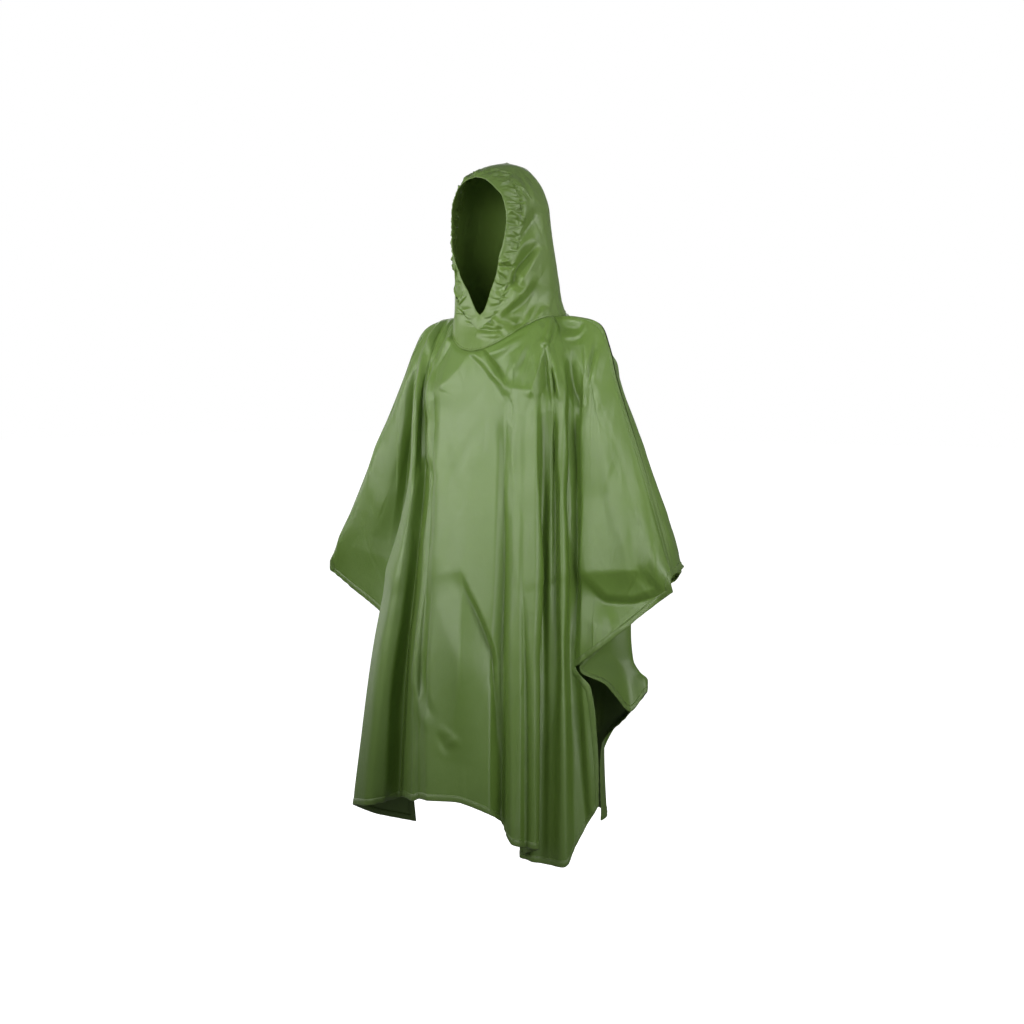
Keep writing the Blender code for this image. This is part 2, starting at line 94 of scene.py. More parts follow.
# Rows on which the panels' length is measured, and the power by which they are closer at the top.
PROBE_ROWS = 1201
PROBE_CURVE = 1.6

# ---------------------------------------------------------------- sewing sizes
# Profiles of the turned hems and raised seams: distance in from the edge, lift off the cloth.
HEM_PROFILE = (
    (0.0130, -0.0001),
    (0.0128, 0.0005),
    (0.0070, 0.0007),
    (0.0008, 0.0006),
    (-0.0004, 0.0000),
    (0.0008, -0.0006),
    (0.0070, -0.0008),
    (0.0128, -0.0006),
    (0.0130, 0.0001),
)
ARM_SEAM_PROFILE = (
    (0.0000, 0.0008),
    (0.0015, 0.0009),
    (0.0060, 0.0008),
    (0.0075, 0.0006),
    (0.0078, -0.0001),
)
CENTRE_SEAM_PROFILE = (
    (0.0000, 0.0009),
    (0.0020, 0.0009),
    (0.0038, 0.0006),
    (0.0040, -0.0001),
)
# Lines of stitches: distance in from the edge and lift off the cloth.
ARM_STITCHES = ((0.0062, 0.0011),)
HEM_STITCHES = ((0.0022, 0.0009), (0.0108, 0.0009))
HOOD_CENTRE_STITCHES = (0.0028, 0.0008)
HOOD_NECK_STITCHES = (0.0030, 0.0008)
CHANNEL_STITCHES = (0.0045, 0.0003)
STITCH_LENGTH = 0.0026
STITCH_GAP = 0.0016
THREAD_RADIUS = 0.00034

# Puckers along a sewn edge: length and height of the waves.
PANEL_PUCKER = (0.021, 0.0009)
HOOD_NECK_PUCKER = (0.017, 0.0008)
HOOD_CENTRE_PUCKER = (0.024, 0.0005)
PUCKER_DEPTH = 0.013     # how far they run into the cloth
PUCKER_CURVE = 1.5       # above 1, they keep their height for longer before they fade
PUCKER_END = 0.02        # share of their height below which they are left off
PUCKER_STRENGTH = (0.25, 1.0)
# How unevenly they are spaced: the range of the random numbers, and the radians to one of them.
PUCKER_DRIFT = 0.9
PUCKER_PHASE = 2.2
PUCKER_SEED = 5

# The channel lifts away from a point this far behind the middle of the face opening.
FACE_CENTRE = 0.08
# A gather also pushes the channel across the opening, by this share of its rise.
GATHER_SPREAD = 0.4
# The channel's section from its inside seam, round the face edge and over the outside to the hood: share
# of the way from the face to the hood, lift off the hood's form, spread of the edge, share of the gathers.
CHANNEL_PROFILE = (
    (1.02, -0.0012, 0.0000, 0.2),
    (0.70, -0.0016, 0.0000, 0.4),
    (0.35, -0.0016, 0.0000, 0.6),
    (0.10, -0.0010, 0.0002, 0.8),
    (0.02, 0.0000, 0.0010, 1.0),
    (0.00, 0.0010, 0.0013, 1.0),
    (0.02, 0.0020, 0.0010, 1.0),
    (0.08, 0.0030, 0.0003, 1.0),
    (0.16, 0.0036, 0.0000, 1.1),
    (0.26, 0.0040, 0.0000, 1.2),
    (0.36, 0.0041, 0.0000, 1.2),
    (0.46, 0.0038, 0.0000, 1.2),
    (0.56, 0.0033, 0.0000, 1.1),
    (0.66, 0.0027, 0.0000, 1.0),
    (0.76, 0.0020, 0.0000, 1.0),
    (0.86, 0.0012, 0.0000, 1.0),
    (0.94, 0.0008, 0.0000, 1.0),
    (1.00, 0.0006, 0.0000, 1.0),
    (1.04, 0.0002, 0.0000, 1.0),
)

# The arm seams from the side of the neck to the wrist: name, x, y, z.
SEAM_LEFT = (
    ("neck side",      0.105, -0.008,  0.000),
    ("shoulder top",   0.165, -0.012, -0.002),
    ("shoulder point", 0.228, -0.018, -0.018),
    ("deltoid",        0.254, -0.026, -0.058),
    ("upper arm",      0.279, -0.034, -0.125),
    ("elbow",          0.354, -0.046, -0.300),
    ("wrist",          0.424, -0.060, -0.482),
)
SEAM_RIGHT = (
    ("neck side",      -0.105, -0.008,  0.000),
    ("shoulder top",   -0.160, -0.012, -0.003),
    ("shoulder point", -0.212, -0.018, -0.024),
    ("deltoid",        -0.232, -0.026, -0.062),
    ("upper arm",      -0.256, -0.034, -0.125),
    ("elbow",          -0.337, -0.048, -0.300),
    ("wrist",          -0.424, -0.062, -0.494),
)

# Outline of the body cloth between its folds, an oval at each height: height, half width in front, depth
# in front, depth behind, half width behind.
BODY = (
    (0.00,  0.205, 0.115, 0.095, 0.205),
    (-0.08, 0.228, 0.140, 0.118, 0.225),
    (-0.16, 0.236, 0.155, 0.130, 0.236),
    (-0.30, 0.240, 0.170, 0.135, 0.242),
    (-0.50, 0.262, 0.200, 0.142, 0.245),
    (-0.65, 0.280, 0.230, 0.148, 0.225),
    (-0.82, 0.296, 0.252, 0.146, 0.186),
    (-1.05, 0.315, 0.275, 0.156, 0.176),
)

# Folds of the front panel from the wearer's right to left, then of the back from left to right: name, top,
# turn at the chest, turn at the hem, out at the chest, out at the hem, height at the hem. "top" runs along
# the top edge: -0.5 to 0.5 is the neck, beyond it the shoulder seam. Turns are in degrees from the centre
# front, and "out" is the share of the oval's radius by which a fold stands out or sinks in.
FRONT_FOLDS = (
    ("right tuck",         -0.90, -62.0, -70.0, -0.10, -0.03, -1.022),
    ("right fold",         -0.80, -44.0, -52.0,  0.02,  0.10, -0.984),
    ("right roll",         -0.70, -33.0, -36.5,  0.01,  0.04, -0.968),
    ("right valley",       -0.61, -36.0, -38.5, -0.12, -0.20, -0.956),
    ("right wall",         -0.52, -26.0, -24.0, -0.07, -0.15, -0.944),
    ("right slope fold",   -0.42, -21.0,  -7.5,  0.00, -0.02, -0.934),
    ("right slope crease", -0.29, -18.5,  -5.0, -0.03, -0.03, -0.928),
    ("right pleat",        -0.16, -12.0,   2.0,  0.02,  0.04, -0.924),
    ("belly",              -0.04,   4.0,  14.0,  0.01,  0.00, -0.922),
    ("centre fold",         0.06,  21.0,  25.5,  0.02,  0.02, -0.938),
    ("centre crease",       0.13,  25.5,  30.0, -0.01, -0.08, -0.958),
    ("left pleat one",      0.21,  30.5,  34.0,  0.01,  0.05, -0.990),
    ("left shallow",        0.29,  35.0,  38.5,  0.00,  0.01, -0.997),
    ("left pleat two",      0.36,  40.5,  42.5,  0.03,  0.05, -0.998),
    ("left hidden turn",    0.42,  49.0,  37.0, -0.06, -0.14, -1.026),
    ("left corner fold",    0.50,  54.5,  53.5,  0.03,  0.02, -1.036),
    ("left edge valley",    0.66,  59.0,  58.5, -0.05, -0.03, -1.004),
)
BACK_FOLDS = (
    ("left blade",         -0.62, 121.0, 133.0,  0.03,  0.05, -0.985),
    ("left back valley",   -0.44, 133.0, 142.0, -0.06, -0.17, -0.978),
    ("left back fold",     -0.30, 146.0, 152.0,  0.03,  0.14, -0.975),
    ("back valley one",    -0.16, 158.0, 162.0, -0.05, -0.17, -0.970),
    ("back centre fold",    0.00, 175.0, 174.0,  0.03,  0.13, -0.968),
    ("back valley two",     0.15, 192.0, 188.0, -0.04, -0.19, -0.970),
    ("right back fold",     0.30, 208.0, 204.0,  0.03,  0.14, -0.975),
    ("right back valley",   0.45, 223.0, 222.0, -0.06, -0.17, -0.980),
    ("right blade",         0.64, 238.0, 240.0,  0.03,  0.10, -0.985),
)

# Side edges, from the shoulder down to the hem: the valley between arm and body as far as the row where
# the edges come together, and the free edge below it. Each row is the share of the panel's height, x, y, z.
FRONT_EDGE_LEFT = (
    (0.00, 0.228, -0.018, -0.018),
    (0.10, 0.217, -0.056, -0.100),
    (0.32, 0.221, -0.066, -0.300),
    (0.53, 0.231, -0.084, -0.500),
    (0.68, 0.241, -0.116, -0.664),
    (0.73, 0.276, -0.114, -0.700),
    (0.80, 0.286, -0.110, -0.765),
    (0.90, 0.289, -0.105, -0.845),
    (1.00, 0.287, -0.102, -0.925),
)
FRONT_EDGE_RIGHT = (
    (0.00, -0.212, -0.018, -0.024),
    (0.10, -0.208, -0.046, -0.100),
    (0.32, -0.208, -0.036, -0.300),
    (0.53, -0.218, -0.042, -0.490),
    (0.68, -0.234, -0.058, -0.640),
    (0.78, -0.240, -0.056, -0.750),
    (0.90, -0.232, -0.050, -0.880),
    (1.00, -0.216, -0.046, -1.036),
)
BACK_EDGE_LEFT = (
    (0.00, 0.228, -0.018, -0.018),
    (0.10, 0.222,  0.020, -0.100),
    (0.32, 0.244,  0.040, -0.300),
    (0.53, 0.258,  0.010, -0.500),
    (0.68, 0.246, -0.109, -0.669),
    (0.72, 0.272, -0.060, -0.702),
    (0.76, 0.282,  0.008, -0.762),
    (0.81, 0.301,  0.036, -0.725),
    (0.87, 0.240,  0.052, -0.785),
    (0.92, 0.190,  0.042, -0.845),
    (1.00, 0.178,  0.058, -0.998),
)
BACK_CREASE_LEFT = (
    (0.00, 0.200, -0.023, -0.016),
    (0.10, 0.218,  0.048, -0.100),
    (0.32, 0.234,  0.066, -0.300),
    (0.53, 0.244,  0.046, -0.500),
    (0.68, 0.246, -0.010, -0.640),
    (0.72, 0.254,  0.006, -0.668),
    (0.76, 0.272,  0.024, -0.694),
    (0.81, 0.299,  0.042, -0.713),
    (0.87, 0.236,  0.060, -0.778),
    (0.92, 0.184,  0.058, -0.840),
    (1.00, 0.180,  0.076, -0.994),
)
BACK_RUFFLE_LEFT = (
    (0.00, 0.176, -0.019, -0.006),
    (0.10, 0.204,  0.072, -0.100),
    (0.32, 0.220,  0.092, -0.300),
    (0.53, 0.248,  0.068, -0.500),
    (0.68, 0.264,  0.040, -0.640),
    (0.72, 0.268,  0.041, -0.668),
    (0.76, 0.281,  0.043, -0.688),
    (0.81, 0.296,  0.048, -0.703),
    (0.87, 0.228,  0.074, -0.772),
    (0.92, 0.170,  0.082, -0.836),
    (1.00, 0.164,  0.099, -0.990),
)
BACK_EDGE_RIGHT = (
    (0.00, -0.212, -0.018, -0.024),
    (0.10, -0.222,  0.020, -0.100),
    (0.32, -0.244,  0.040, -0.300),
    (0.53, -0.254,  0.010, -0.490),
    (0.68, -0.238, -0.051, -0.645),
    (0.78, -0.240, -0.020, -0.750),
    (0.90, -0.224,  0.020, -0.880),
    (1.00, -0.205,  0.050, -0.992),
)
# Lower corners of the sleeve edges, at the wrist.
CUFF = {
    "front left": (0.430, -0.068, -0.512),
    "front right": (-0.434, -0.066, -0.524),
    "back left": (0.394, 0.002, -0.491),
    "back right": (-0.402, 0.004, -0.508),
}

# Hood, an oval at each share of its height from the neck seam up to the crown: share, height, half width,
# half depth, centre y, tuck at the throat.
HOOD = (
    (0.00, 0.000, 0.105, 0.120, -0.008, 0.000),
    (0.15, 0.030, 0.098, 0.117, -0.013, 0.030),
    (0.30, 0.080, 0.092, 0.115, -0.020, 0.034),
    (0.50, 0.150, 0.087, 0.112, -0.032, 0.010),
    (0.65, 0.205, 0.085, 0.110, -0.035, 0.000),
    (0.78, 0.245, 0.074, 0.098, -0.034, 0.000),
    (0.88, 0.275, 0.054, 0.073, -0.028, 0.000),
    (0.95, 0.293, 0.031, 0.042, -0.022, 0.000),
    (1.00, 0.302, 0.000, 0.000, -0.018, 0.000),
)
THROAT_NARROWNESS = 6    # how closely the throat's tuck keeps to the centre front
NECK_BLEND = 0.22        # share of the height over which the neck seam's curve fades out

# Face opening on the hood, from the tip under the chin up to the forehead: the channel's inner edge and
# then its outer edge, each as a turn from the centre front and a share of the hood's height.
RIM = (
    (0.0,  0.140, 0.0,  0.085),
    (8.5,  0.168, 22.5, 0.138),
    (28.5, 0.295, 43.5, 0.258),
    (38.0, 0.395, 54.0, 0.368),
    (47.0, 0.485, 62.5, 0.470),
    (52.0, 0.610, 68.0, 0.612),
    (49.0, 0.700, 66.5, 0.725),
    (39.0, 0.775, 57.0, 0.820),
    (22.0, 0.832, 37.0, 0.893),
    (0.0,  0.852, 0.0,  0.918),
)

# ---------------------------------------------------------------- creases
# Each row is a crease: its name, its width on the left and on the right when following it, the rounding of
# its crest, and the points of its path. A path is drawn on an upright plane in front of the cloth: distance
# across to the right, height, and the rise by which the cloth stands out, or sinks in if it is below zero.
# The creases alone are in millimetres.
MM = 0.001
CREASE_CURVE = 1.3       # above 1, a crease runs out softly at its sides
SEAM_HOLD = 0.012        # creases fade out over this distance from a seam
THROAT_HOLD = 0.004
HOLD_POINTS = 24         # grid points in from a seam among which they do so
FRONT_PLANE = 38.0       # turn of the plane that the front's creases are drawn on, towards the wearer's left
FRONT_CREASES = (
    ("tent ribbon", 18, 9, 1.2,
     (-107, -19, 2), (-91, -49, 5), (-72, -72, 8), (-51, -92, 9), (-34, -113, 8), (-17, -132, 5),
     (-8, -153, 0)),
    ("tent ribbon edge", 7, 9, 1.2,
     (-65, -58, 0), (-50, -79, 6), (-34, -98, 8), (-21, -119, 7), (-11, -134, 3), (-4, -150, 0)),
    ("tent triangle", 34, 8, 2,
     (-50, -74, 0), (-38, -89, -8), (-25, -110, -12), (-13, -129, -8), (-6, -146, -2), (-4, -161, 0)),
    ("tent triangle roof", 6, 12, 1.5,
     (-53, -79, 1), (-23, -66, 5), (11, -47, 5), (30, -36, 0)),
    ("neck facet", 12, 22, 1.5,
     (29, -47, 3), (15, -74, 7), (0, -104, 7), (-8, -123, 3), (-10, -138, 0)),
    ("neck facet two", 24, 8, 1.8,
     (51, -36, 0), (40, -66, 5), (29, -100, 5), (19, -134, 0)),
    ("tent leg ridge", 60, 42, 1.2,
     (-67, -56, 0), (-82, -77, 8), (-99, -100, 13), (-118, -123, 16), (-139, -144, 16), (-156, -167, 9),
     (-172, -195, 0)),
    ("yoke edge", 56, 46, 1.2,
     (-23, -148, 0), (-8, -138, 10), (15, -140, 13), (36, -144, 12), (55, -153, 0)),
    ("pinch stem", 6, 8, 1.2,
     (76, -5, 3.9), (70, -28, 6.5), (63, -53, 7.8)),
    ("pinch stem hollow", 5, 5, 1.4,
     (82, -9, 0), (78, -34, -4), (74, -56, 0)),
    ("pinch stem two", 5, 5, 1.2,
     (89, -9, 0), (84, -24, 3), (78, -47, 3), (74, -62, 0)),
    ("pinch left leg", 13, 14, 1.2,
     (61, -55, 5), (53, -85, 9), (44, -119, 10), (36, -140, 6), (31, -157, 0)),
    ("pinch hollow", 9, 20, 1.6,
     (63, -58, 0), (65, -85, -9), (67, -115, -13), (71, -142, -14), (72, -161, -6), (73, -180, 0)),
    ("pinch right leg", 4, 12, 1.2,
     (65, -53, 5), (70, -89, 8), (74, -127, 9), (76, -157, 8), (76, -218, 6), (75, -295, 5), (73, -467, 4),
     (71, -622, 0)),
    ("pinch outer leg", 12, 5, 1.2,
     (67, -56, 5), (74, -85, 9), (82, -113, 10), (88, -140, 8), (92, -165, 0)),
    ("pinch dark slit", 4, 5, 1.2,
     (72, -70, 0), (78, -104, -7), (82, -134, -9), (84, -161, 0)),
    ("shoulder hollow", 14, 30, 4,
     (91, -9, -5), (107, -22, -14), (124, -24, -13), (139, -17, -4), (152, -13, 0)),
    ("shoulder hollow rim", 24, 6, 1.5,
     (91, -36, 0), (108, -41, 7), (127, -36, 7), (139, -22, 3)),
    ("shoulder fold", 26, 14, 2,
     (109, -66, 0), (112, -92, -9), (118, -131, -14), (128, -161, -14), (135, -184, -6), (137, -218, 0)),
    ("shoulder fold two", 6, 18, 1.5,
     (124, -66, 0), (130, -96, 5), (135, -134, 7), (137, -169, 5)),
    ("sleeve ridge", 60, 8, 1.5,
     (137, -24, 4), (139, -66, 7), (139, -123, 9), (137, -180, 10), (138, -275, 11), (138, -390, 11),
     (134, -506, 10), (129, -622, 6), (125, -665, 0)),
    ("sleeve foot valley", 7, 16, 1.5,
     (116, -134, 0), (120, -199, -7), (124, -295, -10), (124, -390, -10), (125, -487, -9), (121, -583, -6),
     (117, -661, 0)),
    ("small shoulder crease", 9, 6, 1.5,
     (162, -36, 0), (156, -66, -6), (149, -100, -7.5), (143, -134, 0)),
    ("small shoulder ridge", 16, 6, 1.5,
     (173, -39, 0), (166, -70, 4.5), (156, -104, 6), (149, -146, 0)),
    ("sleeve top drop", 60, 30, 6,
     (168, -66, 0), (194, -142, 4), (221, -218, 5), (245, -295, 5), (264, -371, 5), (284, -439, 0)),
    ("sleeve diagonal", 30, 40, 5,
     (149, -161, 0), (168, -256, 3), (191, -352, 4), (211, -429, 4), (226, -471, 0)),
    ("crinkle one", 8, 8, 1,
     (-105, -13, 3), (-116, -32, 10), (-131, -58, 13), (-143, -81, 11), (-154, -106, 0)),
    ("crinkle two", 7, 8, 1,
     (-120, -5, 3), (-133, -26, 9), (-147, -51, 12), (-156, -75, 10), (-162, -98, 0)),
    ("crinkle three", 7, 8, 1,
     (-137, -1, 2), (-150, -22, 8), (-162, -47, 11), (-169, -72, 0)),
    ("crinkle four", 5, 5, 1,
     (-114, -24, 0), (-126, -45, -6), (-139, -72, -7), (-151, -96, 0)),
    ("crinkle five", 5, 5, 1,
     (-129, -17, 0), (-141, -37, -6), (-152, -60, -7), (-160, -85, 0)),
    ("crinkle foot ridge", 30, 8, 1.8,
     (-129, -70, 0), (-143, -92, 4), (-154, -115, 6), (-160, -142, 5), (-162, -169, 0)),
    ("right slope ridge", 36, 10, 2,
     (-156, -142, 0), (-160, -184, 5), (-160, -237, 7), (-159, -295, 6), (-161, -352, 0)),
    ("right slope valley", 8, 9, 1.5,
     (-166, -70, 0), (-173, -108, -7), (-177, -161, -10), (-179, -218, -10), (-180, -266, -7),
     (-180, -314, 0)),
    ("right thin ridge", 6, 10, 1.2,
     (-169, -51, 1), (-179, -89, 6), (-185, -142, 8), (-191, -218, 8), (-195, -287, 6), (-199, -333, 0)),
    ("right second valley", 8, 16, 1.8,
     (-192, -85, 0), (-200, -142, -6), (-204, -199, -9), (-210, -256, -9), (-216, -314, -6),
     (-222, -390, 0)),
    ("fold head", 14, 26, 1.8,
     (-178, -279, 0), (-166, -291, -3.9), (-157, -306, -4.9), (-161, -337, -4.9), (-169, -381, -2.9),
     (-176, -429, 0)),
    ("fold head edge", 26, 7, 2,
     (-157, -237, 0), (-151, -275, 2.4), (-149, -314, 3), (-155, -371, 3), (-163, -448, 2.4),
     (-173, -525, 1.2), (-177, -583, 0)),
    ("chest crease", 7, 20, 1.2,
     (-17, -146, 0), (-15, -218, -3), (-15, -314, -4), (-13, -429, -5), (-15, -583, -5), (-17, -738, -5),
     (-21, -934, -5)),
    ("chest panel edge", 11, 60, 1.2,
     (40, -131, 0), (44, -161, 8), (46, -237, 15), (46, -390, 16), (44, -525, 15), (40, -641, 11),
     (40, -738, 8), (39, -894, 6), (37, -1041, 5)),
    ("chest panel middle", 30, 26, 4,
     (15, -146, 0), (15, -218, 5), (15, -467, 6), (13, -583, 3), (13, -661, 0)),
    ("chest panel foot", 20, 6, 1.8,
     (53, -169, 0), (55, -237, -6), (57, -390, -8), (58, -545, -8), (60, -699, -7), (60, -855, -6),
     (58, -1032, -5)),
    ("faint vee left", 16, 30, 4,
     (-132, -176, 0), (-122, -218, 1.5), (-113, -256, 1.5), (-101, -333, 0)),
    ("faint vee right", 30, 16, 4,
     (-52, -218, 0), (-73, -264, 1.5), (-92, -302, 1.2), (-109, -371, 0)),
    ("faint mid fold", 40, 30, 5,
     (-80, -295, 0), (-84, -390, 2), (-92, -487, 2), (-98, -622, 0)),
    ("faint left fold", 30, 24, 4,
     (-126, -295, 0), (-132, -390, 3), (-144, -467, 4), (-157, -545, 0)),
    ("long ridge", 12, 9, 1.5,
     (-157, -448, 0), (-163, -498, 2), (-173, -552, 3.6), (-183, -641, 4.4), (-189, -703, 4.4),
     (-179, -746, 3.2), (-170, -785, 0)),
    ("long ridge hollow", 12, 12, 1.8,
     (-146, -467, 0), (-157, -545, -4), (-167, -641, -4.8), (-170, -719, -7.2), (-158, -754, -3.2),
     (-145, -773, 0)),
    ("left edge ridge", 24, 56, 1.2,
     (-195, -410, 0), (-203, -467, 6), (-219, -583, 14), (-237, -699, 17), (-247, -816, 17),
     (-251, -914, 15), (-253, -945, 14)),
    ("knee ridge", 60, 50, 1.2,
     (-96, -371, 0), (-98, -439, 3), (-98, -496, 8), (-98, -552, 14), (-98, -622, 19), (-100, -680, 18),
     (-104, -738, 12), (-112, -797, 6), (-120, -846, 0)),
    ("knee valley", 8, 66, 1.5,
     (-98, -487, 0), (-90, -518, -10), (-71, -558, -18), (-52, -603, -22), (-38, -645, -21),
     (-33, -707, -12), (-29, -769, -6), (-27, -836, 0)),
    ("crinkle low one", 9, 16, 1.5,
     (-143, -781, 0), (-125, -791, 2.4), (-108, -803, 2.2), (-97, -820, 0)),
    ("crinkle low two", 6, 14, 1.5,
     (-131, -820, 0), (-116, -808, 2.6), (-100, -803, 0)),
    ("crinkle low three", 10, 18, 1.5,
     (-189, -731, 0), (-179, -756, 2.6), (-170, -775, 2), (-158, -793, 0)),
    ("crinkle low four", 14, 9, 2,
     (-143, -793, 0), (-131, -816, -3.5), (-120, -836, 0)),
    ("pleat one edge", 7, 26, 1.5,
     (11, -390, 0), (12, -506, 3), (13, -622, 4), (15, -738, 5), (15, -855, 5), (14, -992, 5)),
    ("pleat valley", 7, 8, 1.2,
     (25, -525, 0), (27, -641, -6), (29, -777, -6), (29, -894, -6), (27, -1032, -4)),
    ("pleat two edge", 9, 8, 1.5,
     (40, -622, 0), (42, -719, 3), (42, -816, 4), (43, -934, 4), (41, -1041, 3)),
    ("deep dark valley", 8, 14, 1.8,
     (78, -161, 0), (80, -237, -8), (82, -352, -11), (83, -545, -11), (81, -699, -8), (79, -816, -5),
     (76, -1051, -4)),
    ("deep valley wall", 26, 6, 1.2,
     (86, -180, 0), (90, -237, 5), (92, -429, 5), (92, -583, 5), (93, -738, 5), (93, -894, 4),
     (91, -1032, 3)),
    ("corner second valley", 9, 16, 2.5,
     (113, -583, 0), (121, -699, -6), (129, -816, -7), (137, -934, -6), (143, -992, -3)),
    ("corner ridge", 14, 9, 1.8,
     (125, -622, 0), (135, -738, 5), (145, -855, 6), (151, -934, 5)),
    ("sleeve break ridge", 140, 54, 1,
     (125, -489, 4), (142, -485, 12), (169, -481, 17), (200, -477, 19), (224, -475, 19), (232, -475, 18),
     (251, -492, 12), (271, -512, 6), (286, -525, 0)),
    ("sleeve break valley", 16, 46, 1,
     (129, -492, -2), (144, -510, -9), (163, -531, -15), (173, -539, -16), (184, -541, -16),
     (207, -541, -15), (227, -539, -14), (253, -529, -10), (273, -521, -5), (286, -518, 0)),
    ("sleeve hem kick", 72, 22, 2,
     (139, -661, 0), (165, -641, 9), (200, -614, 13), (238, -583, 12), (265, -558, 6), (284, -541, 0)),
    ("sleeve drip crease", 12, 16, 1.8,
     (228, -467, 0), (246, -487, -4), (263, -506, -5), (276, -518, 0)),
    ("sleeve hem crease", 16, 12, 2,
     (177, -552, 0), (185, -579, 5), (177, -614, 4), (165, -645, 0)),
    ("sleeve inner fold", 14, 22, 2.5,
     (146, -545, 0), (144, -583, -4), (137, -632, -4), (127, -661, 0)),
    ("right sleeve crease", 34, 26, 4,
     (-206, -161, 0), (-225, -237, 4), (-245, -314, 6), (-262, -390, 5), (-280, -448, 0)),
    ("right sleeve fold", 26, 14, 3,
     (-191, -199, 0), (-206, -275, -5), (-220, -352, -7), (-230, -429, -5), (-238, -496, 0)),
    ("right sleeve break", 60, 50, 2.5,
     (-338, -471, 0), (-299, -479, 2.5), (-269, -491, 4), (-242, -514, 4), (-227, -548, 0)),
)
HOOD_CREASES = (
    ("temple valley", 20, 16, 2.5,
     (50, 216, 0), (42, 189, -7.5), (29, 166, -10.5), (14, 147, -6), (0, 127, 0)),
    ("temple ridge", 14, 12, 2,
     (31, 231, 0), (23, 204, 4.5), (12, 181, 6), (0, 162, 0)),
    ("cheek valley head", 10, 24, 1.8,
     (50, 141, 0), (33, 120, -12), (15, 99, -15), (0, 78, -10.5), (-8, 58, 0)),
    ("cheek facet ridge", 26, 10, 1.5,
     (54, 139, 0), (43, 112, 7.5), (29, 85, 10.5), (15, 62, 9), (4, 43, 4.5), (-4, 24, 0)),
    ("cheek roof", 18, 8, 1.8,
     (42, 154, 0), (19, 135, 6), (0, 116, 6), (-14, 97, 0)),
    ("cheek foot", 14, 12, 2,
     (-6, 85, 0), (4, 68, -9), (17, 56, -7.5), (29, 54, 0)),
    ("jaw ridge", 14, 26, 1.5,
     (41, 85, 0), (29, 58, 9), (10, 33, 10.5), (-12, 14, 6), (-25, 0, 0)),
    ("jaw valley", 18, 10, 2,
     (46, 66, 0), (33, 45, -9), (14, 24, -10.5), (-8, 4, -4.5), (-19, -7, 0)),
    ("nape shade", 24, 28, 4,
     (66, 62, 0), (50, 31, -7.5), (33, 8, -9), (17, -15, 0)),
    ("neck tuck one", 8, 8, 1.5,
     (48, 26, 0), (39, 6, 6), (31, -15, 4.5)),
    ("neck tuck two", 8, 8, 1.5,
     (68, 20, 0), (58, 6, 4.5), (50, -9, 4.5)),
    ("neck tuck three", 8, 9, 1.5,
     (19, 8, 0), (12, -7, -4.5), (6, -27, -4.5)),
    ("back long fold", 24, 34, 4,
     (56, 200, 0), (66, 137, 6), (72, 79, 6), (77, 22, 0)),
    ("crown sweep one", 12, 9, 2,
     (-10, 277, 0), (8, 261, 4.5), (19, 239, 6), (19, 212, 0)),
    ("crown sweep two", 10, 9, 2,
     (4, 281, 0), (25, 265, 4.5), (39, 242, 6), (44, 216, 0)),
    ("crown hollow", 14, 12, 3,
     (-4, 281, -3), (19, 269, -6), (37, 254, -6), (50, 227, 0)),
    ("throat wrinkle one", 8, 7, 1.2,
     (-74, -11, 0), (-58, -15, 5), (-39, -21, 6), (-15, -17, 0)),
    ("throat wrinkle two", 7, 8, 1.2,
     (-79, -28, 0), (-58, -34, 6), (-35, -36, 6), (-14, -30, 0)),
    ("throat wrinkle three", 6, 6, 1.4,
     (-62, -3, 0), (-43, -11, -6), (-23, -28, -6), (-12, -46, 0)),
    ("throat slit", 6, 6, 1.2,
     (-74, -21, 0), (-54, -25, -6), (-33, -28, -6), (-17, -25, 0)),
    ("throat knot", 10, 10, 2,
     (-54, -3, 0), (-39, -7, 6), (-29, -19, 6), (-31, -34, 0)),
    ("chin fold", 16, 16, 2.5,
     (-23, -3, 0), (-4, -11, -9), (15, -19, -9), (35, -19, 0)),
)
HOOD_CREASES_RIGHT = (
    ("cheek valley", 20, 18, 2,
     (60, 190, 0), (40, 140, -6), (30, 100, -7), (10, 60, 0)),
    ("jaw ridge", 20, 14, 2,
     (80, 110, 0), (60, 60, 5), (20, 10, 4), (-10, -20, 0)),
)
